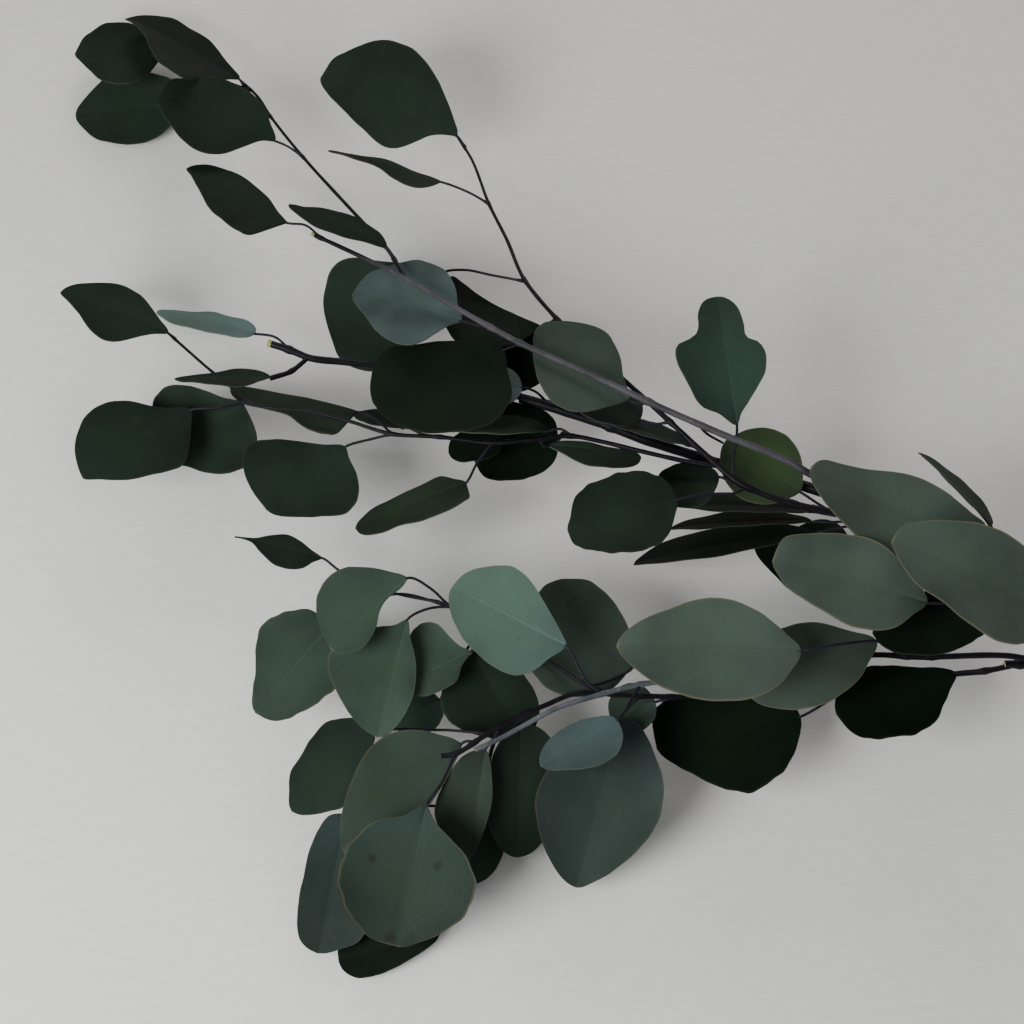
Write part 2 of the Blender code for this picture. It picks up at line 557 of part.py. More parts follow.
def line_height(line, turn):
    """The height of a smooth line through sorted points at one place."""
    after = next((i for i in range(1, len(line)) if line[i][0] >= turn), len(line) - 1)
    (x0, y0), (x1, y1) = line[after - 1], line[after]
    before, beyond = line[max(after - 2, 0)], line[min(after + 1, len(line) - 1)]
    slopes = [(y1 - before[1]) / max(x1 - before[0], 1e-6), (beyond[1] - y0) / max(beyond[0] - x0, 1e-6)]
    span = max(x1 - x0, 1e-6)
    u = (turn - x0) / span
    smooth = u * u * (3 - 2 * u)
    bend = (u - 1) ** 2 * u * slopes[0] + (u - 1) * u * u * slopes[1]
    return y0 + (y1 - y0) * smooth + bend * span


def form_width(blade, turn, phases):
    """The half width of a blade that keeps to its form."""
    base_full, tip_full, lean, wave = FORMS[blade.form]
    full = base_full if turn < math.pi / 2 else tip_full
    half = max(math.sin(turn), 0.0) ** full * (1 + lean * math.cos(turn))
    return half * (1 + wave * (math.sin(3 * turn + phases[0]) + 0.6 * math.sin(6 * turn + phases[1])))


def blade_point(blade, station, side, widths):
    """A point of a blade, from its station along it and its side, from -1 to 1."""
    base, length, along, across, out = blade_frame(blade)
    turn = math.pi * station
    width = blade.width * MM / 2
    draw = random.Random(blade.name + ("left" if side < 0 else "right"))
    phases = [draw.uniform(0, math.tau) for _ in range(3)]
    if widths:
        half = line_height(widths[1 if side > 0 else -1], turn)
    else:
        half = width * form_width(blade, turn, phases)
    half = max(half, width * 0.07)
    rise = half * abs(side) * blade.cup + length * blade.arch * math.sin(turn)
    rise += width * 0.02 * math.sin(4 * turn + phases[2]) * side ** 2 * math.sin(turn)
    return base + along * (length * (1 - math.cos(turn)) / 2) + across * (half * side) + out * rise


def blade_sheet(blade, collection):
    """A blade as a bent grid with a Solidify modifier, split alike on both faces."""
    bm = bmesh.new()
    widths = sighted_widths(blade) if blade.name in OUTLINES else None
    stations = BLADE_STATIONS * (2 if blade.name == LOBED else 1)
    bmesh.ops.create_grid(bm, x_segments=stations, y_segments=BLADE_STRIPS, size=1)
    for vert in bm.verts:
        vert.co = blade_point(blade, (vert.co.x + 1) / 2, vert.co.y, widths)
    bmesh.ops.triangulate(bm, faces=bm.faces)
    mesh = bpy.data.meshes.new("blade_" + blade.name)
    bm.to_mesh(mesh)
    bm.free()
    sheet = bpy.data.objects.new(mesh.name, mesh)
    collection.objects.link(sheet)
    solidify = sheet.modifiers.new("thickness", "SOLIDIFY")
    solidify.thickness = BLADE_THICKNESS
    solidify.offset = 0
    return sheet


def petiole_tube(blade, collection):
    """The leaf's own stalk, from inside its twig to inside its blade."""
    points = [place(point) for point in blade.petiole]
    points.append(points[-1] + blade_frame(blade)[2] * PETIOLE_IN_BLADE)
    return tube("petiole_" + blade.name, points, (PETIOLE_RADIUS, PETIOLE_RADIUS * 0.8), collection, 0)


def boolean(target, collection, operation):
    """Join or cut an object with all that a collection holds, and apply it."""
    modifier = target.modifiers.new(operation.lower(), "BOOLEAN")
    modifier.operation = operation
    modifier.operand_type = "COLLECTION"
    modifier.collection = collection
    modifier.solver = "EXACT"
    depsgraph = bpy.context.evaluated_depsgraph_get()
    mesh = bpy.data.meshes.new_from_object(target.evaluated_get(depsgraph))
    target.modifiers.clear()
    target.data = mesh
    for tool in list(collection.objects):
        bpy.data.objects.remove(tool)


def new_collection(name, parent):
    collection = bpy.data.collections.new(name)
    parent.children.link(collection)
    return collection


def new_material(name):
    colour, roughness = MATERIALS[name]
    material = bpy.data.materials.new(name)
    material.use_nodes = True
    shader = material.node_tree.nodes["Principled BSDF"]
    shader.inputs["Base Color"].default_value = colour
    shader.inputs["Roughness"].default_value = roughness
    shader.inputs["Metallic"].default_value = 0.0
    return material


def floor_box(collection):
    """What would reach below the surface is cut flat by this box."""
    bpy.ops.mesh.primitive_cube_add(size=1)
    box = bpy.context.object
    box.name = "below_the_surface"
    box.scale = (1.2, 1.2, 0.1)
    box.location = (0, 0, -0.05)
    bpy.ops.object.transform_apply(location=True, scale=True)
    for owner in list(box.users_collection):
        owner.objects.unlink(box)
    collection.objects.link(box)


def finish(target, material, cutters):
    boolean(target, cutters, "DIFFERENCE")
    target.data.materials.clear()
    target.data.materials.append(material)
    target.data.shade_smooth()
    target.data.set_sharp_from_angle(angle=math.radians(35))


def woody_fork(branch, pieces, cutters, material):
    trunk, *arms = WOOD
    fork = stem_tube("main_stem", WOOD[trunk], branch, 2)
    for arm in arms:
        stem_tube(arm, WOOD[arm], pieces, 2)
    boolean(fork, pieces, "UNION")
    floor_box(cutters)
    finish(fork, material, cutters)


def leafy_stem(name, branch, pieces, cutters, material):
    """One leafy stem as one solid, cut clear of the wood that it grows from."""
    plan = LEAFY[name]
    body = stem_tube(name, plan["twigs"][0], branch)
    for number, twig in enumerate(plan["twigs"][1:]):
        stem_tube(f"{name}_twig_{number}", twig, pieces)
    for blade in plan["leaves"]:
        petiole_tube(blade, pieces)
        blade_sheet(blade, pieces)
    boolean(body, pieces, "UNION")
    if name in PARENT_TWIG:
        parent, number = PARENT_TWIG[name]
        stem_tube("seat", LEAFY[parent]["twigs"][number], cutters, 1, GAP)
    else:
        for arm in WOOD:
            stem_tube("seat_" + arm, WOOD[arm], cutters, 2, GAP)
    floor_box(cutters)
    finish(body, material, cutters)


def main():
    for old in list(bpy.data.objects):
        bpy.data.objects.remove(old)
    scene = bpy.context.scene.collection
    branch = new_collection("eucalyptus_branch", scene)
    pieces = new_collection("pieces_to_join", scene)
    cutters = new_collection("cutters", scene)
    woody_fork(branch, pieces, cutters, new_material("bark"))
    green = new_material("leaf")
    for name in LEAFY:
        leafy_stem(name, branch, pieces, cutters, green)


main()
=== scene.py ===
"""The eucalyptus branch in full detail: its stems, its leaf stalks and its leaves.

Metres, +Z up. The layout repeats the one that the solid model is built from: every point
is a sighting, which is where it shows in a picture PICTURE_PX wide, taken from EYE, and
its height in millimetres above the table.
"""

import math
import random
from collections import namedtuple

import bmesh
import bpy
from bpy.props import EnumProperty, FloatProperty, FloatVectorProperty, PointerProperty
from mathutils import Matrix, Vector
from mathutils.kdtree import KDTree


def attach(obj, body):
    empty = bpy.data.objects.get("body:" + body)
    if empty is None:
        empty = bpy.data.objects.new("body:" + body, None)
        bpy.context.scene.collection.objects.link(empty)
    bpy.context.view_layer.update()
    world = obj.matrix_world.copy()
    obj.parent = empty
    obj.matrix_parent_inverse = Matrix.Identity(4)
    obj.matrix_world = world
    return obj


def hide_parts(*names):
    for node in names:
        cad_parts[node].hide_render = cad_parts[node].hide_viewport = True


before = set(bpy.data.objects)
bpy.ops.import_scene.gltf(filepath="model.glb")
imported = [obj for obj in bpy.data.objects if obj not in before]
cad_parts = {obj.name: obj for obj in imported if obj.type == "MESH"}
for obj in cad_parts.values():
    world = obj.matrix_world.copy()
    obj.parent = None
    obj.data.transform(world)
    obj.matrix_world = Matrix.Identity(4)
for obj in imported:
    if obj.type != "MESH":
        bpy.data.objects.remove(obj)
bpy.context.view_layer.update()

bl_info = {
    "name": "Eucalyptus Branch",
    "version": (1, 0, 0),
    "blender": (4, 5, 0),
    "location": "3D View > Sidebar > Branch",
    "description": "Builds a cut eucalyptus branch, leaf by leaf, on a plain table",
    "category": "Add Mesh",
}

MM = 0.001
PICTURE_PX = 1024
FOCAL_PX = 2000
ELEVATION = math.radians(60)
EYE = Vector((-0.090, -0.590, 0.953))
RIGHT = Vector((1, 0, 0))
FORWARD = Vector((0, math.cos(ELEVATION), -math.sin(ELEVATION)))
UP = Vector((0, math.sin(ELEVATION), math.cos(ELEVATION)))

# How finely the tubes and the blades are made.
ROUTE_STEP = 2.2 * MM
STALK_STEP = 1.6 * MM
STEM_SIDES = 12
STALK_SIDES = 8
BLADE_GRID = (44, 18)
MIDRIB_STATIONS = (0.08, 0.16, 0.25, 0.34, 0.43, 0.52, 0.61, 0.70, 0.78, 0.86)
SMOOTH_ANGLE = math.radians(50)

# The groove over a blade's midrib, the least half width of a sighted blade, how much wavier a
# scalloped edge is, and how far the swellings at a stem's joints and a stalk's foot reach.
GROOVE_DEPTH = 0.35 * MM
GROOVE_WIDTH = 0.9 * MM
LEAST_WIDTH = 0.5 * MM
SCALLOPS = 3
KNOB_REACH = 2.2 * MM
FOOT_REACH = 2.6 * MM
TABLE_SIDE = 8
TABLE_DROP = 0.4 * MM

# A stem's material slots at its cut end, and a Mix node's sockets: its share and two colours
# in, and its colour out.
BARK_RING, BARE_WOOD = 1, 2
MIX_INPUTS, MIX_OUTPUT = (0, 6, 7), 2

# How a blade's edge runs: fullness at the base and at the tip (1 is an ellipse, more is
# pointed), where it is widest (positive is towards the base), and how wavy it is.
FORMS = {
    "round": (1.0, 0.85, 0.05, 0.020),
    "egg": (1.0, 1.15, 0.12, 0.020),
    "fan": (1.3, 0.75, -0.12, 0.025),
    "lens": (1.25, 1.35, 0.0, 0.020),
    "scalloped": (1.0, 0.75, 0.05, 0.055),
}

Stem = namedtuple("Stem", "radii_mm points")
Leaf = namedtuple("Leaf", "name finish petiole tip width roll form cup arch")


def leaf(name, finish, petiole, tip, width, roll, form="round", cup=0.10, arch=0.03):
    """A leaf by its finish, its stalk's points, its tip, its width in mm and its roll in degrees."""
    return Leaf(name, finish, petiole, tip, width, roll, form, cup, arch)


# The outlines of the leaves that show their shape: where each edge runs in the picture, from
# the stalk to the tip, first along one side and then along the other. The rest have a form.
OUTLINES = {
    "01": ([(228, 63), (218, 50), (205, 38), (190, 28), (175, 19), (160, 16), (140, 16)],
           [(225, 81), (200, 81), (183, 78), (170, 70), (157, 60), (150, 46), (138, 28)]),
    "02": ([(160, 48), (148, 34), (134, 25), (118, 23), (105, 24), (92, 31), (82, 40)],
           [(157, 62), (150, 73), (135, 82), (118, 84), (103, 80), (90, 71), (81, 62)]),
    "03": ([(186, 92), (175, 81), (152, 73), (130, 70), (112, 74), (95, 88), (82, 102)],
           [(184, 114), (172, 124), (158, 137), (140, 144), (115, 143), (95, 138), (82, 127)]),
    "04": ([(272, 127), (261, 102), (245, 89), (225, 80), (205, 77), (185, 78), (168, 82)],
           [(262, 141), (240, 148), (220, 154), (200, 151), (183, 140), (170, 125), (161, 110)]),
    "05": ([(279, 213), (268, 198), (255, 185), (240, 175), (220, 168), (198, 165)],
           [(280, 229), (268, 234), (250, 235), (230, 226), (210, 208), (199, 190), (191, 176)]),
    "06": ([(385, 240), (377, 230), (362, 221), (345, 214), (320, 208), (302, 206)],
           [(378, 246), (362, 242), (340, 236), (318, 227), (303, 219), (294, 212)]),
    "07": ([(455, 122), (449, 105), (440, 84), (428, 64), (412, 49), (392, 41), (370, 42), (345, 52),
            (329, 64)],
           [(447, 135), (430, 136), (415, 142), (396, 148), (380, 144), (362, 128), (343, 110),
            (327, 93)]),
    "08": ([(425, 175), (405, 167), (385, 159), (365, 157), (345, 154)],
           [(432, 186), (420, 188), (405, 185), (392, 177), (380, 168), (350, 158)]),
    "09": ([(425, 266), (400, 263), (375, 261), (350, 258), (335, 264), (327, 280), (323, 303), (327, 325),
            (333, 343)],
           [(440, 295), (430, 320), (415, 345), (395, 362), (372, 371), (355, 368)]),
    "10": ([(458, 305), (456, 290), (448, 274), (435, 264), (418, 260), (400, 263), (383, 269),
            (366, 276)],
           [(450, 325), (437, 333), (423, 342), (407, 345), (392, 341), (378, 332), (366, 317),
            (357, 306)]),
    "11": ([(528, 323), (512, 314), (495, 305), (480, 296), (465, 284), (450, 277)],
           [(530, 335), (510, 345), (485, 350), (460, 345), (445, 325)]),
    "12": ([(495, 343), (470, 340), (440, 341), (410, 345), (388, 349), (376, 360), (371, 378)],
           [(507, 370), (512, 388), (508, 405), (495, 420), (475, 429), (450, 433), (420, 432),
            (393, 422)]),
    "14": ([(624, 378), (620, 356), (610, 337), (595, 327), (575, 322), (556, 321)],
           [(612, 405), (590, 411), (568, 410), (551, 401), (540, 384), (534, 364), (533, 343)]),
    "15": ([(262, 372), (245, 369), (225, 370), (205, 374), (188, 376)],
           [(260, 381), (248, 385), (228, 386), (205, 384), (186, 382)]),
    "16": ([(254, 325), (245, 320), (230, 317), (210, 312), (185, 311), (168, 310)],
           [(248, 337), (230, 336), (205, 332), (185, 327), (168, 321), (160, 316)]),
    "17": ([(162, 322), (152, 308), (140, 295), (125, 287), (105, 283), (85, 283), (70, 286)],
           [(156, 334), (140, 336), (115, 341), (100, 338), (88, 327), (77, 312), (67, 300)]),
    "18": ([(170, 408), (150, 406), (125, 401), (105, 403), (88, 413), (78, 430), (75, 450), (78, 467)],
           [(191, 425), (190, 442), (183, 464), (165, 472), (140, 478), (115, 480), (97, 479)]),
    "19": ([(225, 398), (205, 390), (185, 385), (165, 388), (154, 400), (152, 420), (156, 440)],
           [(250, 412), (256, 432), (254, 452), (243, 468), (225, 474), (205, 472), (185, 466)]),
    "20": ([(345, 410), (322, 403), (300, 399), (275, 393), (250, 390)],
           [(352, 420), (343, 431), (325, 434), (305, 427), (288, 416), (265, 409), (245, 404)]),
    "21": ([(325, 445), (300, 441), (272, 439), (252, 443), (243, 456), (244, 472), (250, 487),
            (257, 500)],
           [(349, 458), (356, 472), (359, 488), (355, 504), (342, 514), (318, 517), (292, 517)]),
    "22": ([(455, 479), (440, 477), (419, 486), (396, 496), (377, 506), (364, 516)],
           [(468, 489), (470, 496), (462, 503), (447, 511), (425, 519), (403, 525), (382, 533),
            (365, 535)]),
    "23b": ([(560, 428), (550, 415), (530, 405), (505, 402), (485, 412), (474, 430)],
            [(557, 455), (548, 468), (530, 477), (505, 481), (485, 477), (476, 465)]),
    "25": ([(565, 441), (590, 443), (615, 448), (632, 451)],
           [(560, 452), (575, 460), (592, 466), (612, 468), (630, 467)]),
    "26": ([(672, 488), (660, 477), (640, 471), (620, 472), (603, 479), (585, 487), (574, 500),
            (570, 518)],
           [(675, 515), (670, 532), (658, 545), (640, 551), (620, 553), (600, 551), (582, 548),
            (571, 540)]),
    "27": ([(708, 466), (692, 462), (676, 465), (662, 471)],
           [(716, 488), (708, 502), (690, 508), (670, 503)]),
    "28": ([(803, 480), (802, 462), (795, 444), (782, 433), (765, 428), (747, 430), (733, 436)],
           [(790, 498), (770, 504), (750, 502), (735, 494), (725, 480), (720, 463), (721, 450)]),
    "29": ([(720, 414), (703, 407), (690, 388), (678, 364), (675, 351), (681, 342), (692, 338), (698, 329),
            (698, 314), (704, 301)],
           [(741, 414), (748, 403), (758, 386), (766, 370), (766, 354), (759, 342), (747, 337), (744, 325),
            (739, 310), (730, 300)]),
    "33": ([(985, 530), (970, 512), (945, 492), (920, 477), (895, 472), (865, 469), (840, 464),
            (822, 460)],
           [(950, 570), (920, 568), (890, 558), (862, 540), (840, 520), (823, 500), (813, 484)]),
    "34": ([(922, 588), (905, 566), (885, 547), (860, 536), (830, 533), (802, 534), (783, 539),
            (774, 549)],
           [(915, 613), (898, 626), (876, 630), (852, 627), (828, 614), (805, 600), (788, 588),
            (777, 573)]),
    "35": ([(1056, 590), (1045, 567), (1024, 546), (1000, 531), (975, 522), (945, 520), (918, 522),
            (900, 528)],
           [(1045, 635), (1020, 644), (996, 641), (972, 625), (945, 603), (918, 585), (903, 567),
            (895, 552)]),
    "37": ([(955, 595), (930, 590), (905, 600), (885, 615)],
           [(984, 628), (975, 640), (955, 650), (930, 655), (905, 654), (887, 649)]),
    "38": ([(838, 524), (822, 519), (805, 524), (785, 533), (765, 537)],
           [(850, 560), (835, 580), (810, 592), (788, 588), (776, 576), (762, 562)]),
    "39": ([(935, 668), (910, 667), (885, 665), (862, 668), (845, 680), (836, 697)],
           [(951, 688), (944, 705), (935, 722), (918, 733), (890, 738), (862, 737), (847, 728)]),
    "40": ([(792, 639), (778, 626), (758, 611), (735, 601), (713, 598), (692, 601), (665, 610), (640, 621),
            (625, 632)],
           [(793, 668), (780, 684), (758, 697), (730, 701), (705, 700), (680, 694), (655, 683), (635, 669),
            (623, 657)]),
    "41": ([(858, 633), (840, 628), (817, 622), (795, 624), (775, 632), (758, 650), (748, 675)],
           [(870, 660), (861, 677), (846, 691), (828, 702), (800, 709), (775, 708)]),
    "42": ([(790, 702), (760, 698), (725, 697), (690, 698), (662, 702), (653, 715), (653, 732)],
           [(799, 738), (793, 757), (780, 774), (760, 788), (740, 793), (712, 784), (685, 770),
            (668, 760)]),
    "43": ([(634, 645), (627, 625), (615, 603), (602, 589), (586, 580), (569, 579), (552, 582),
            (540, 590)],
           [(618, 684), (600, 694), (575, 696), (550, 690), (532, 672), (524, 648), (525, 625)]),
    "44": ([(550, 658), (537, 669), (520, 675), (503, 672), (484, 659), (465, 641), (454, 622),
            (449, 604)],
           [(563, 636), (551, 614), (540, 595), (528, 578), (515, 568), (500, 565), (484, 567),
            (466, 573)]),
    "45": ([(634, 714), (646, 735), (656, 757), (663, 780), (663, 803), (654, 830), (636, 852), (612, 872),
            (592, 883)],
           [(604, 722), (578, 738), (553, 762), (539, 785), (535, 805), (538, 828), (546, 852),
            (558, 873)]),
    "46": ([(600, 716), (579, 721), (563, 729), (547, 742), (540, 755)],
           [(623, 735), (619, 751), (602, 764), (582, 769), (560, 770)]),
    "47": ([(505, 735), (494, 752), (489, 775), (487, 800), (489, 825), (498, 845)],
           [(540, 728), (556, 748), (560, 775), (556, 805), (548, 832), (535, 850)]),
    "48": ([(441, 735), (420, 730), (398, 731), (381, 738), (367, 752), (355, 773), (346, 797), (340, 822),
            (340, 840)],
           [(455, 762), (443, 785), (428, 806), (405, 830), (378, 850), (358, 858)]),
    "49": ([(405, 815), (379, 820), (362, 830), (347, 849), (339, 868), (340, 890), (348, 911), (362, 930),
            (377, 941)],
           [(434, 820), (450, 838), (463, 852), (472, 868), (475, 888), (470, 907), (457, 923), (440, 934),
            (420, 942)]),
    "50": ([(330, 815), (318, 830), (309, 851), (304, 874), (299, 897), (297, 920), (300, 940)],
           [(356, 830), (366, 855), (372, 885), (372, 915), (358, 942), (338, 950)]),
    "51": ([(425, 925), (400, 920), (372, 925), (350, 938), (338, 950)],
           [(433, 944), (414, 957), (394, 968), (374, 976), (358, 978), (345, 972)]),
    "52": ([(362, 722), (345, 718), (325, 723), (312, 738), (300, 757), (290, 773), (289, 793)],
           [(372, 748), (362, 770), (352, 790), (345, 806), (325, 812), (308, 815)]),
    "53": ([(313, 611), (290, 611), (270, 618), (258, 632), (256, 652), (255, 675), (252, 697)],
           [(336, 640), (338, 660), (336, 685), (322, 700), (300, 713), (275, 721)]),
    "54": ([(392, 572), (366, 567), (346, 568), (330, 576), (319, 590), (316, 606), (318, 622),
            (325, 638)],
           [(400, 589), (388, 598), (380, 610), (376, 626), (370, 639), (360, 650)]),
    "55": ([(395, 625), (376, 627), (352, 640), (332, 650), (327, 664), (332, 682), (345, 707),
            (360, 726)],
           [(410, 636), (415, 656), (416, 676), (413, 697), (404, 716), (393, 730)]),
    "56": ([(460, 646), (449, 636), (439, 625), (427, 622), (416, 627), (408, 640), (404, 662)],
           [(462, 665), (457, 681), (442, 690), (425, 696), (414, 694)]),
    "57": ([(458, 664), (446, 680), (441, 697), (445, 715), (462, 730), (490, 738)],
           [(490, 652), (510, 662), (528, 680), (538, 700), (538, 720)]),
    "58": ([(470, 752), (456, 763), (444, 783), (436, 802), (435, 817), (444, 834), (457, 848)],
           [(490, 760), (492, 780), (492, 800), (487, 822), (479, 843)]),
    "60": ([(313, 551), (300, 541), (287, 535), (271, 535), (255, 538)],
           [(313, 562), (303, 568), (290, 569), (274, 564), (261, 553), (251, 542)]),
}

# The woody fork that everything grows from: radii at root and tip in mm, then the points.
WOOD = {
    "trunk": Stem((4.2, 3.6), [(1385, 707, 3.6), (1330, 692, 3.7), (1270, 674, 8.5), (1215, 660, 16)]),
    "upper_arm": Stem(
        (3.4, 2.5),
        [(1225, 663, 16), (1120, 610, 30), (1020, 568, 42), (930, 533, 49), (860, 505, 49),
         (804, 486, 47), (760, 474, 45), (718, 463, 46), (683, 452, 49), (648, 441, 52),
         (606, 425, 54), (550, 407, 57), (520, 398, 58)],
    ),
    "lower_arm": Stem((3.0, 2.0), [(1220, 662, 16), (1120, 665, 24), (1060, 665, 30), (1005, 664, 35)]),
}

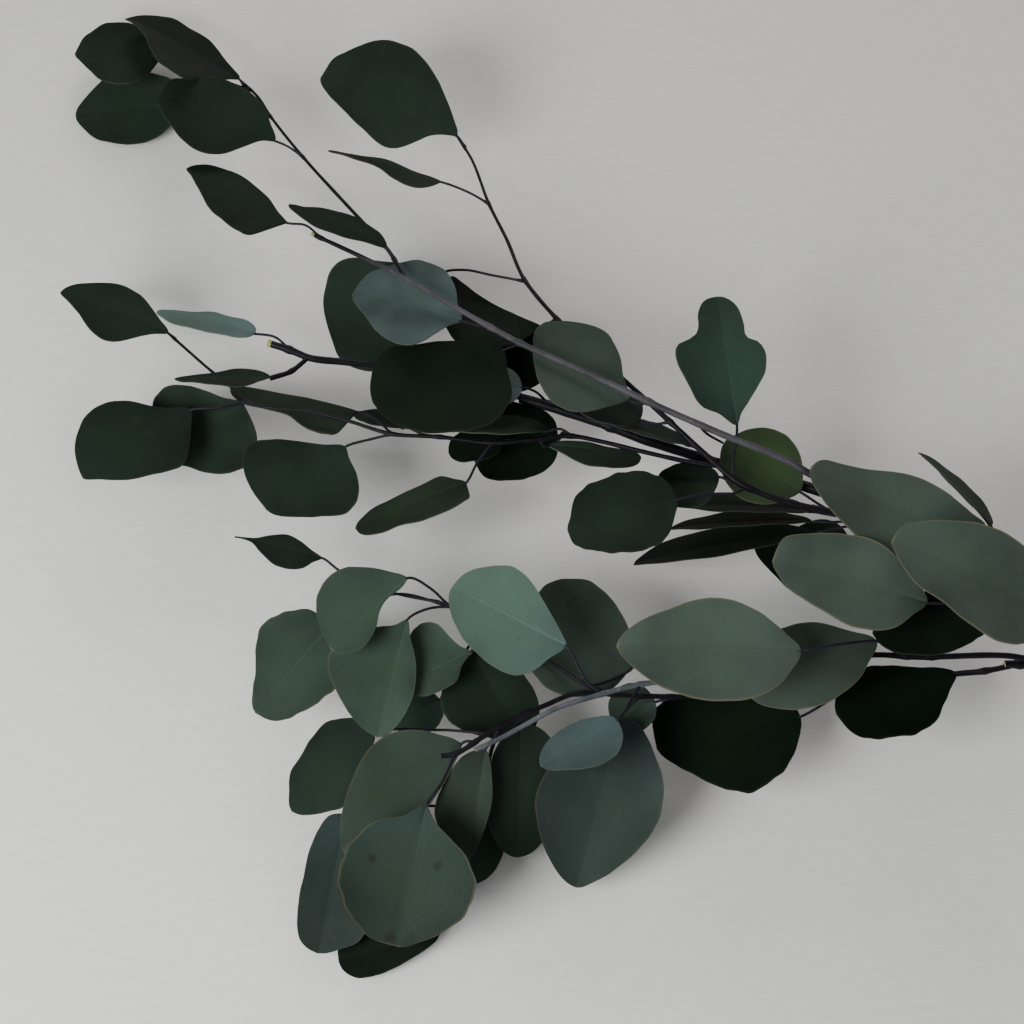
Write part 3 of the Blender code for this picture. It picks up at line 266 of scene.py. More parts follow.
# Each leafy stem: the wood that it leaves, its own twigs and its leaves.
LEAFY = {
    "stem_a": {
        "twigs": [
            Stem((2.1, 1.2), [(978, 551, 46), (940, 534, 58), (870, 502, 73), (810, 474, 82), (790, 462, 84),
                              (724, 435, 89), (662, 408, 90), (592, 375, 88), (520, 343, 84),
                              (460, 310, 79), (405, 278, 74), (347, 250, 69), (312, 234, 66)]),
            Stem((1.2, 0.8), [(405, 278, 74), (388, 250, 68), (356, 215, 60), (303, 157, 48),
                              (271, 117, 40), (258, 97, 37), (240, 80, 34)]),
            Stem((0.8, 0.6), [(698, 424, 90), (706, 433, 86), (723, 443, 80)]),
        ],
        "leaves": [
            leaf("01", "near_black", [(244, 86, 35), (239, 79, 34)], (126, 19, 30), 52, -34, "lens"),
            leaf("02", "dark_green", [(250, 90, 36), (205, 74, 27), (163, 60, 21)], (76, 52, 18), 56, -12),
            leaf("03", "deep_green", [(271, 117, 40), (225, 110, 24), (190, 104, 11)],
                 (76, 115, 0), 54, 14),
            leaf("04", "dark_green", [(303, 157, 48), (287, 146, 49), (275, 141, 51)],
                 (159, 95, 58), 56, -2),
            leaf("05", "dark_green", [(320, 237, 67), (305, 225, 64), (287, 223, 62)],
                 (188, 168, 50), 50, -20, "lens"),
            leaf("06", "dark_green", [(394, 260, 70), (390, 253, 71), (386, 248, 72)],
                 (289, 205, 76), 48, -20, "egg"),
            leaf("10", "blue_grey", [(491, 328, 81), (478, 326, 76), (461, 321, 71)],
                 (354, 292, 59), 60, -2, "fan"),
            leaf("12", "near_black", [(520, 343, 84), (514, 346, 76), (504, 350, 68)],
                 (373, 402, 60), 66, -3, "round", 0.05),
            leaf("14", "grey_green", [(648, 402, 90), (640, 404, 86), (628, 400, 82)],
                 (541, 325, 76), 54, 0, "fan"),
        ],
    },
    "stem_b": {
        "twigs": [
            Stem((1.8, 0.8), [(905, 523, 49), (870, 517, 56), (833, 512, 59), (780, 500, 61),
                              (738, 482, 64), (707, 456, 66), (666, 418, 68), (624, 380, 68),
                              (558, 320, 66), (524, 279, 63), (507, 240, 59), (489, 204, 56),
                              (472, 160, 52), (457, 136, 50)]),
        ],
        "leaves": [
            leaf("07", "deep_green", [(465, 147, 51), (457, 136, 50)], (322, 76, 44), 64, 12, "egg", 0.14),
            leaf("08", "moss", [(489, 204, 56), (470, 193, 60), (441, 182, 62)],
                 (328, 151, 60), 40, -30, "lens"),
            leaf("09", "deep_green", [(523, 281, 63), (491, 275, 60), (465, 270, 52), (442, 273, 44)],
                 (342, 361, 30), 62, 0),
            leaf("11", "near_black", [(562, 323, 66), (552, 325, 61), (541, 327, 56.5)],
                 (438, 290, 49), 46, -10, "egg"),
            leaf("13", "near_black", [(556, 319, 66), (546, 325, 58), (536, 334, 54)],
                 (508, 392, 46), 34, 0, "egg"),
            leaf("14b", "dark_green", [(670, 422, 68), (655, 424, 66), (640, 420, 64)],
                 (576, 400, 62), 40, -28, "egg"),
            leaf("29", "teal", [(734, 479, 64), (733, 460, 68), (736, 442, 71), (737, 425, 74)],
                 (717, 297, 92), 52, 0, "egg"),
            leaf("26", "dark_green", [(748, 487, 63), (731, 494, 69), (700, 495, 73), (677, 500, 74)],
                 (568, 531, 66), 52, 4, "scalloped"),
            leaf("27", "dark_green", [(742, 484, 64), (729, 481, 62), (719, 477, 60)],
                 (656, 486, 54), 38, -14),
            leaf("14c", "dark_green", [(712, 460, 66), (702, 452, 63), (690, 446, 60)],
                 (610, 424, 58), 30, -43, "lens"),
        ],
    },
    "stem_c": {
        "twigs": [
            Stem((2.0, 1.9), [(610, 427, 54), (585, 417, 51), (540, 402, 50), (460, 382, 52),
                              (400, 368, 56), (345, 362, 60), (310, 358, 63), (290, 350, 65),
                              (268, 343, 66)]),
            Stem((1.3, 1.2), [(308, 358, 63), (290, 372, 67), (270, 379, 69)]),
        ],
        "leaves": [
            leaf("15", "dark_green", [(292, 371, 67), (270, 377, 70)], (175, 379, 70), 36, -35, "lens"),
            leaf("16", "mint", [(289, 349, 65), (275, 337, 62), (255, 334, 58)],
                 (158, 311, 54), 40, -30, "lens"),
            leaf("pale", "mint", [(548, 404, 50), (536, 392, 58), (522, 388, 61)],
                 (468, 392, 58), 32, -14),
        ],
    },
    "stem_e": {
        "twigs": [
            Stem((1.3, 0.8), [(719, 466, 65), (700, 464, 64), (675, 459, 63), (640, 451, 62),
                              (599, 441, 61), (571, 436, 61), (530, 440, 61), (492, 443, 60),
                              (440, 437, 59), (392, 434, 58), (345, 420, 56), (300, 410, 54),
                              (248, 403, 51), (231, 387, 49), (210, 370, 47), (168, 333, 44)]),
        ],
        "leaves": [
            leaf("17", "dark_green", [(175, 339, 44), (168, 333, 44)], (61, 292, 38), 46, -14, "lens"),
            leaf("18", "dark_green", [(246, 402, 51), (215, 408, 52), (191, 410, 50)],
                 (83, 478, 40), 56, -4),
            leaf("19", "deep_green", [(248, 403, 51), (246, 403, 48), (243, 404, 45)],
                 (165, 458, 30), 58, -2, "round", 0.2),
            leaf("20", "moss", [(392, 434, 58), (374, 418, 48), (357, 412, 40)],
                 (232, 387, 30), 42, -20, "lens"),
            leaf("21", "dark_green", [(392, 434, 58), (372, 439, 57), (345, 447, 56)],
                 (267, 510, 47), 54, 0, "round"),
            leaf("22", "moss", [(492, 443, 60), (477, 463, 57), (466, 483, 54)],
                 (356, 529, 44), 48, -14, "lens", 0.25),
            leaf("23a", "near_black", [(530, 440, 61), (515, 440, 52), (503, 441, 47)],
                 (449, 453, 44), 28, -18),
            leaf("23b", "near_black", [(571, 436, 61), (562, 433, 48), (558, 441, 39)],
                 (472, 448, 34), 48, 4),
            leaf("24", "moss", [(571, 436, 61), (561, 429, 61), (548, 431, 60)],
                 (447, 431, 56), 38, -43, "lens"),
            leaf("25", "mid_green", [(540, 439, 61), (543, 446, 56), (549, 446, 52)],
                 (641, 458, 46), 34, 22, "lens"),
            leaf("sliver", "dark_green", [(440, 437, 59), (422, 434, 46), (404, 428, 36)],
                 (354, 414, 32), 26, -38, "lens"),
        ],
    },
    "stem_m": {
        "twigs": [
            Stem((1.6, 1.1), [(950, 540, 48), (905, 533, 43), (870, 525, 42), (835, 513, 43),
                              (812, 506, 48)]),
        ],
        "leaves": [
            leaf("28", "olive_green", [(835, 513, 43), (820, 505, 50), (800, 492, 53)],
                 (725, 442, 55), 45, 4, "round"),
            leaf("30", "near_black", [(850, 518, 43), (830, 515, 41), (812, 512, 40)],
                 (676, 507, 34), 38, -44, "lens"),
            leaf("31", "near_black", [(858, 521, 42), (832, 522, 40), (812, 522, 37)],
                 (670, 530, 28), 34, -47, "lens"),
            leaf("32", "near_black", [(866, 524, 42), (838, 528, 39), (812, 534, 35)],
                 (634, 565, 20), 42, -42, "lens"),
            leaf("38", "near_black", [(885, 529, 42), (866, 540, 26), (850, 545, 17)],
                 (754, 545, 12), 42, 0, "round"),
        ],
    },
    "stem_r": {
        "twigs": [
            Stem((2.0, 1.4), [(1075, 590, 36), (1045, 596, 55), (1020, 588, 68), (990, 560, 76)]),
        ],
        "leaves": [
            leaf("33", "grey_olive", [(990, 560, 76), (982, 560, 80), (974, 553, 83)],
                 (811, 468, 92), 54, -4, "egg"),
            leaf("34", "grey_olive", [(1010, 578, 71), (965, 600, 88), (927, 603, 93)],
                 (773, 560, 86), 52, 6, "egg"),
            leaf("35", "grey_olive", [(1030, 592, 62), (1056, 612, 86), (1048, 612, 97)],
                 (892, 541, 103), 62, 2, "egg"),
            leaf("36", "moss", [(1000, 568, 73), (996, 545, 68), (991, 526, 66)],
                 (918, 453, 66), 36, -52, "lens"),
            leaf("37", "near_black", [(1045, 596, 55), (1005, 606, 70), (975, 610, 77)],
                 (873, 634, 77), 46, 0),
        ],
    },
    "stem_l": {
        "twigs": [
            Stem((1.6, 1.2), [(1052, 665, 31), (1010, 656, 41), (920, 657, 46), (872, 655, 48),
                              (800, 668, 50), (740, 676, 55), (686, 680, 62), (643, 684, 64),
                              (602, 694, 66), (555, 709, 67), (525, 725, 66), (499, 739, 65),
                              (475, 750, 64)]),
        ],
        "leaves": [
            leaf("40", "grey_olive", [(932, 657, 45), (885, 641, 70), (842, 644, 80), (801, 651, 82)],
                 (617, 646, 78), 56, 6, "egg"),
            leaf("41", "grey_olive", [(906, 657, 47), (890, 649, 55), (876, 641, 60)],
                 (752, 698, 60), 50, 2, "egg"),
            leaf("44", "light_green", [(602, 694, 66), (587, 682, 70), (566, 646, 77)],
                 (452, 588, 74), 57, 6, "fan"),
            leaf("46", "blue_grey", [(640, 685, 64), (628, 705, 66), (617, 720, 64)],
                 (541, 766, 58), 36, -10, "egg"),
        ],
    },
    "stem_k": {
        "twigs": [
            Stem((1.5, 1.2), [(1020, 664, 34), (985, 671, 32), (955, 674, 33), (872, 680, 35),
                              (780, 690, 42), (686, 697, 51), (624, 695, 56), (574, 694, 58),
                              (546, 705, 58), (518, 717, 58), (487, 734, 57), (455, 754, 56),
                              (441, 756, 56)]),
            Stem((1.0, 0.8), [(503, 725, 57), (492, 748, 44), (486, 778, 28), (476, 812, 20),
                              (456, 860, 12)]),
        ],
        "leaves": [
            leaf("39", "bottle", [(985, 671, 32), (970, 671, 37), (955, 673, 40)],
                 (837, 715, 44), 46, -8, "scalloped", 0.05),
            leaf("42", "bottle", [(860, 681, 36), (830, 700, 33), (800, 717, 31)],
                 (657, 748, 28), 68, 0, "scalloped"),
            leaf("45", "slate", [(640, 696, 55), (630, 706, 54), (621, 716, 52)],
                 (576, 887, 12), 64, 6, "egg"),
            leaf("47", "deep_green", [(530, 712, 58), (515, 724, 52), (520, 723, 48)],
                 (517, 857, 14), 38, 14, "egg"),
            leaf("48", "slate_green", [(474, 743, 57), (467, 741, 53), (461, 744, 49)],
                 (345, 853, 34), 56, 0, "egg"),
            leaf("49", "leaf_green", [(455, 754, 56), (441, 784, 58), (426, 806, 57)],
                 (397, 946, 22), 68, 0, "scalloped"),
            leaf("50", "slate", [(478, 808, 21), (420, 806, 25), (346, 814, 27)],
                 (318, 953, 6), 46, 8, "egg"),
            leaf("51", "near_black", [(457, 856, 12), (448, 900, 10), (439, 934, 7)],
                 (339, 961, 0), 38, 0, "egg"),
            leaf("52", "deep_green", [(487, 734, 57), (460, 731, 48), (438, 730, 37), (374, 734, 32)],
                 (292, 811, 22), 46, 0, "egg"),
            leaf("58", "slate_green", [(500, 726, 57), (494, 738, 55), (485, 750, 52)],
                 (469, 858, 26), 36, 0, "egg"),
            leaf("59", "teal", [(486, 778, 28), (480, 798, 16), (471, 812, 11)],
                 (474, 884, 3), 32, 0, "egg"),
            leaf("61", "mid_green", [(672, 697, 53), (664, 700, 50), (655, 702, 48)],
                 (610, 716, 45), 26, 0),
        ],
    },
    "stem_f": {
        "twigs": [
            Stem((1.1, 0.9), [(606, 692, 65), (585, 684, 61), (555, 665, 59), (500, 634, 59),
                              (449, 606, 60), (430, 600, 60)]),
        ],
        "leaves": [
            leaf("43", "grey_green", [(590, 687, 62), (615, 678, 54), (633, 665, 50)],
                 (531, 604, 54), 54, 0, "round"),
            leaf("53", "mid_green", [(449, 606, 60), (397, 594, 52), (350, 610, 47), (332, 624, 45)],
                 (256, 713, 34), 54, 4, "scalloped"),
            leaf("54", "mid_green", [(449, 606, 60), (430, 588, 68), (407, 578, 74)],
                 (332, 650, 68), 54, 0, "egg"),
            leaf("55", "mid_green", [(449, 606, 60), (427, 609, 62), (407, 620, 62)],
                 (378, 737, 44), 50, 0, "egg"),
            leaf("56", "mid_green", [(485, 626, 59), (478, 642, 57), (470, 652, 55)],
                 (407, 684, 48), 36, 0),
            leaf("57", "deep_green", [(500, 634, 59), (486, 647, 52), (472, 654, 46)],
                 (525, 738, 30), 54, 0),
            leaf("60", "dark_green", [(438, 602, 60), (394, 593, 57), (340, 571, 56), (322, 558, 55)],
                 (235, 537, 52), 28, -8, "lens"),
            leaf("bit", "teal", [(485, 626, 59), (473, 640, 46), (456, 668, 32), (440, 700, 25)],
                 (395, 727, 22), 26, 0),
        ],
    },
}

# The stems that don't wear the dark bark.
BARKS = {"stem_a_twig_0": "grey_bark", "stem_l_twig_0": "pale_bark"}

# The stems whose cut tip shows its pale wood all round, and for how far.
BARE_TIPS = ("stem_a_twig_0", "stem_c_twig_0", "stem_k_twig_1")
BARE_TIP = 1.6 * MM

# Where a grey bark turns dark: from the first point to the second. The lighter grey and pale stretches are
# partly painted highlight, where the real stems catch the light.
DARK_RUNS = {
    "grey_bark": [((760, 452, 86), (860, 498, 76)), ((400, 276, 74), (340, 246, 68))],
    "pale_bark": [((690, 680, 62), (770, 672, 52))],
}

# Each leaf finish: its slot and its colour, then the strength of its veins, how
# pale they are against the blade, its painted green glow, which stands in for light shining
# through the blade, the bloom at its base, its rim, its gloss, and the leaves that wear it.
Finish = namedtuple("Finish", "slot colour vein paleness glow bloom rim gloss worn_by")
FINISHES = {
    "near_black": Finish("leaf_dark", (0.006, 0.011, 0.006), 0.15, 1.5, 0.05, 0.05, 0.05, 0.05,
        "Nearly black leaves"),
    "dark_green": Finish("leaf_dark", (0.011, 0.019, 0.0125), 0.20, 1.6, 0.20, 0.10, 0.08, 0.06,
        "Most upper leaves"),
    "deep_green": Finish("leaf_dark", (0.015, 0.025, 0.017), 0.20, 1.6, 0.25, 0.15, 0.08, 0.06,
        "Dark leaves with more green"),
    "bottle": Finish("leaf_dark", (0.004, 0.009, 0.0045), 0.20, 1.6, 0.30, 0.05, 0.08, 0.04,
        "The dark hanging leaves"),
    "slate": Finish("leaf_olive", (0.024, 0.036, 0.031), 0.18, 0.75, 0.05, 0.10, 0.12, 0.12,
        "Two big dark grey leaves, low in front"),
    "slate_green": Finish("leaf_olive", (0.023, 0.036, 0.024), 0.20, 0.80, 0.08, 0.10, 0.15, 0.12,
        "Grey leaves behind the front one"),
    "leaf_green": Finish("leaf_green", (0.015, 0.026, 0.018), 0.25, 1.5, 0.25, 0.45, 0.25, 0.12,
        "The lowest front leaf"),
    "moss": Finish("leaf_green", (0.015, 0.024, 0.014), 0.35, 1.6, 0.25, 0.10, 0.20, 0.08,
        "Leaves with light coming through"),
    # Painted reflection: the grey in this colour stands in for window light reflected by these upturned waxy
    # leaves, over their own olive green.
    "grey_olive": Finish("leaf_olive", (0.048, 0.069, 0.051), 0.40, 0.66, 0.08, 0.12, 0.45, 0.16,
        "The broad leaves at the right"),
    "grey_green": Finish("leaf_olive", (0.034, 0.050, 0.038), 0.25, 0.80, 0.08, 0.10, 0.15, 0.12,
        "Duller leaves among the light ones"),
    "olive_green": Finish("leaf_green", (0.026, 0.044, 0.018), 0.30, 1.3, 0.35, 0.05, 0.30, 0.15,
        "The one olive-green leaf"),
    "blue_grey": Finish("leaf_olive", (0.047, 0.070, 0.065), 0.20, 1.4, 0.05, 0.25, 0.10, 0.14,
        "Leaves with a blue bloom"),
    "teal": Finish("leaf_green", (0.023, 0.043, 0.032), 0.28, 1.7, 0.20, 0.20, 0.20, 0.12,
        "The lobed leaf and two small ones"),
    "light_green": Finish("leaf_pale", (0.056, 0.092, 0.074), 0.35, 1.6, 0.15, 0.30, 0.12, 0.18,
        "The one pale lower leaf"),
    "mid_green": Finish("leaf_green", (0.028, 0.047, 0.032), 0.28, 1.6, 0.20, 0.40, 0.20, 0.15,
        "Light leaves, most of them on the lower stems"),
    "mint": Finish("leaf_pale", (0.080, 0.125, 0.112), 0.25, 0.75, 0.10, 0.20, 0.15, 0.22,
        "The palest leaves"),
}

# A soft band of painted shade across the blue-grey leaf, standing in for the shade of a bend in the real
# leaf: points along it, and its half width in mm.
FOLD_SHADES = {
    "10": ([(452, 322, 69), (425, 323, 68), (400, 320, 66), (376, 312, 63)], 6.0),
}

# Brown spots on single leaves: where they show, and their radius in mm.
SPOTS = {
    "33": [((875, 527, 88), 1.4)],
    "34": [((848, 617, 90), 2.0)],
    "40": [((721, 632, 80), 1.6), ((765, 640, 81), 1.3)],
    "43": [((568, 606, 53), 2.4)],
    "49": [((439, 865, 44), 3.0), ((372, 858, 44), 2.0), ((390, 938, 26), 2.6), ((412, 936, 26), 1.8)],
    "44": [((492, 601, 74), 1.6), ((520, 640, 76), 1.4)],
    "54": [((357, 608, 71), 1.6)],
    "29": [((690, 345, 84), 1.3)],
}


def place(sighting):
    """The point seen at a picture position, at a height in mm above the table."""
    px, py, height = sighting
    ray = FORWARD * FOCAL_PX + RIGHT * (px - PICTURE_PX / 2) - UP * (py - PICTURE_PX / 2)
    return EYE + ray * ((EYE.z - height * MM) / -ray.z)


def smooth_route(points, step):
    """Points about a step apart on a smooth curve through the given points."""
    legs = [b - a for a, b in zip(points, points[1:])]
    headings = [legs[0].normalized()]
    headings += [(a.normalized() + b.normalized()).normalized() for a, b in zip(legs, legs[1:])]
    headings.append(legs[-1].normalized())
    route = []
    for start, leg, first, last in zip(points, legs, headings, headings[1:]):
        count = max(2, round(leg.length / step))
        reach = leg.length * 0.9
        for number in range(count):
            t = number / count
            route.append(
                start
                + leg * (3 * t * t - 2 * t ** 3)
                + first * reach * (t ** 3 - 2 * t * t + t)
                + last * reach * (t ** 3 - t * t)
            )
    return route + [points[-1]]


def run_lengths(route):
    """How far along a route each of its points lies."""
    runs = [0.0]
    for start, end in zip(route, route[1:]):
        runs.append(runs[-1] + (end - start).length)
    return runs


def sighted_edge(blade, edge):
    """A sighted edge on the bent blade: its points' turns and offsets from the middle line."""
    spots = []
    for px, py in edge:
        ray = place((px, py, 0)) - EYE
        rise = 0.0
        for _ in range(4):
            reach = ((blade.base - EYE).dot(blade.out) + rise) / ray.dot(blade.out)
            point = EYE + ray * reach - blade.base
            share = min(max(point.dot(blade.along) / blade.length, 0.002), 0.998)
            offset = point.dot(blade.across)
            bow = 2 * math.sqrt(share * (1 - share))
            rise = abs(offset) * blade.plan.cup + blade.length * blade.plan.arch * bow
        spots.append((math.acos(1 - 2 * share), offset))
    return spots


def sighted_widths(blade):
    """The half widths along each side of a blade, from its two sighted edges."""
    edges = [sighted_edge(blade, edge) for edge in OUTLINES[blade.plan.name]]
    edges.sort(key=lambda spots: sum(offset for _, offset in spots) / len(spots))
    widths = {}
    for side, spots in zip((-1, 1), edges):
        line = [(turn, max(offset * side, LEAST_WIDTH)) for turn, offset in spots]
        widths[side] = sorted([(0.0, 0.0), *line, (math.pi, 0.0)])
    return widths


def line_height(line, turn):
    """The height of a smooth line through sorted points at one place."""
    after = next((i for i in range(1, len(line)) if line[i][0] >= turn), len(line) - 1)
    (x0, y0), (x1, y1) = line[after - 1], line[after]
    before, beyond = line[max(after - 2, 0)], line[min(after + 1, len(line) - 1)]
    slopes = [(y1 - before[1]) / max(x1 - before[0], 1e-6), (beyond[1] - y0) / max(beyond[0] - x0, 1e-6)]
    span = max(x1 - x0, 1e-6)
    u = (turn - x0) / span
    smooth = u * u * (3 - 2 * u)
    bend = (u - 1) ** 2 * u * slopes[0] + (u - 1) * u * u * slopes[1]
    return y0 + (y1 - y0) * smooth + bend * span


class Blade:
    """One leaf blade as a surface: where each station along it and side across it lies."""

    def __init__(self, blade, crinkle):
        self.plan = blade
        self.crinkle = crinkle
        self.base, tip = place(blade.petiole[-1]), place(blade.tip)
        self.length = (tip - self.base).length
        self.along = (tip - self.base).normalized()
        level = self.along.cross(Vector((0, 0, 1))).normalized()
        roll = math.radians(blade.roll)
        self.across = level * math.cos(roll) + level.cross(self.along) * math.sin(roll)
        self.out = self.across.cross(self.along)
        self.width = blade.width * MM / 2
        self.widths = sighted_widths(self) if blade.name in OUTLINES else None
        self.phases = {}
        for side in ("left", "right"):
            draw = random.Random(blade.name + side)
            self.phases[side] = [draw.uniform(0, math.tau) for _ in range(7)]

    def half_width(self, station, side, phases):
        turn = math.pi * station
        if self.widths:
            half = line_height(self.widths[1 if side > 0 else -1], turn) / self.width
        else:
            base_full, tip_full, lean, wave = FORMS[self.plan.form]
            full = base_full if station < 0.5 else tip_full
            half = max(math.sin(turn), 0.0) ** full * (1 + lean * math.cos(turn))
            half *= 1 + wave * (math.sin(3 * turn + phases[0]) + 0.6 * math.sin(6 * turn + phases[1]))
        fine = math.sin(13 * turn + phases[3]) + 0.6 * math.sin(22 * turn + phases[4])
        half *= 1 + self.crinkle * (SCALLOPS if self.plan.form == "scalloped" else 1) * fine
        return self.width * max(half, 0.03)

    def spot(self, station, side):
        """The offsets along, across and out of the blade, in metres."""
        turn = math.pi * station
        phases = self.phases["left" if side < 0 else "right"]
        half = self.half_width(station, side, phases)
        position = self.length * (1 - math.cos(turn)) / 2
        fold = half * abs(side) ** 1.3 * self.plan.cup
        arch = self.length * self.plan.arch * math.sin(turn)
        sway = self.width * 0.02 * math.sin(4 * turn + phases[2]) * side ** 2 * math.sin(turn)
        frill = self.width * 0.012 * math.sin(9 * turn + phases[5]) * abs(side) ** 3 * math.sin(turn)
        groove = GROOVE_DEPTH * math.exp(-((half * side / GROOVE_WIDTH) ** 2)) * (1 - 0.7 * station)
        return position, half * side, fold + arch + sway + frill - groove

    def point(self, station, side):
        position, offset, rise = self.spot(station, side)
        return self.base + self.along * position + self.across * offset + self.out * rise


def add_node(tree, kind, inputs=None, **settings):
    """A shader node with its settings, its fixed values and its incoming links."""
    made = tree.nodes.new(kind)
    for key, value in settings.items():
        setattr(made, key, value)
    for socket, value in (inputs or {}).items():
        if isinstance(value, bpy.types.NodeSocket):
            tree.links.new(value, made.inputs[socket])
        else:
            made.inputs[socket].default_value = value
    return made


def math_node(tree, operation, first, second=0.0, third=0.0):
    made = add_node(tree, "ShaderNodeMath", {0: first, 1: second, 2: third}, operation=operation)
    return made.outputs[0]


def ramp(tree, value, low, high, start=0.0, end=1.0):
    """The value's run from low to high, as a smooth run from start to end."""
    made = add_node(
        tree, "ShaderNodeMapRange", {0: value, 1: low, 2: high, 3: start, 4: end},
        interpolation_type="SMOOTHSTEP",
    )
    return made.outputs[0]


def times(tree, first, second):
    return math_node(tree, "MULTIPLY", first, second)


def blend_colour(tree, share, first, second):
    """The first colour, or the second by a share."""
    colours = [
        value if isinstance(value, bpy.types.NodeSocket) else (*value[:3], 1) for value in (first, second)
    ]
    inputs = dict(zip(MIX_INPUTS, (share, *colours)))
    return add_node(tree, "ShaderNodeMix", inputs, data_type="RGBA").outputs[MIX_OUTPUT]


def noise(tree, vector, scale, detail=3.0, roughness=0.55):
    made = add_node(
        tree, "ShaderNodeTexNoise",
        {"Vector": vector, "Scale": scale, "Detail": detail, "Roughness": roughness},
    )
    return made.outputs["Fac"]


def new_material(name, roughness, specular):
    """A new material, its nodes, its shader and the place that its patterns read."""
    material = bpy.data.materials.new(name)
    material.use_nodes = True
    shader = material.node_tree.nodes["Principled BSDF"]
    shader.inputs["Roughness"].default_value = roughness
    shader.inputs["Specular IOR Level"].default_value = specular
    place_in = add_node(material.node_tree, "ShaderNodeTexCoord").outputs["Object"]
    return material, material.node_tree, shader, place_in


def dress(tree, shader, colour, height, strength, depth):
    """The shader takes its colour, and a bump from a height."""
    tree.links.new(colour, shader.inputs["Base Color"])
    bump = add_node(tree, "ShaderNodeBump", {"Strength": strength, "Distance": depth, "Height": height})
    tree.links.new(bump.outputs[0], shader.inputs["Normal"])


def distance_to(tree, place_in, sighting):
    inputs = {0: place_in, 1: place(sighting)}
    return add_node(tree, "ShaderNodeVectorMath", inputs, operation="DISTANCE").outputs["Value"]


def scaled(colour, factor):
    return tuple(channel * factor for channel in colour[:3])


def split_map(tree, uv_map):
    """One of a blade's UV maps, whole and axis by axis."""
    whole = add_node(tree, "ShaderNodeUVMap", uv_map=uv_map).outputs[0]
    return whole, add_node(tree, "ShaderNodeSeparateXYZ", {0: whole}).outputs


def vein_masks(tree, share):
    """How far a point lies on the midrib, and on one of the side veins."""
    span, axes = split_map(tree, "span")
    along, across = axes[0], math_node(tree, "ABSOLUTE", axes[1])
    width = math_node(tree, "MULTIPLY_ADD", share[0], -0.05, 0.065)
    midrib = ramp(tree, math_node(tree, "DIVIDE", across, width), 1.0, 0.3)
    wander = times(tree, noise(tree, span, 1.1, 3.0), 1.1)
    bend = math_node(tree, "MULTIPLY_ADD", across, -0.95, along)
    row = times(tree, math_node(tree, "ADD", bend, wander), 1.55)
    off = math_node(tree, "ABSOLUTE", math_node(tree, "SUBTRACT", math_node(tree, "FRACT", row), 0.5))
    side = ramp(tree, off, 0.055, 0.0)
    thin = times(tree, side, ramp(tree, across, 2.6, 0.1, 0.25, 1.0))
    return midrib, thin


def edge_mask(tree, share, off):
    """How close a point of the blade lies to its outline."""
    return math_node(
        tree, "MAXIMUM", ramp(tree, off, 0.955, 0.99), ramp(tree, share[0], 0.985, 0.997)
    )


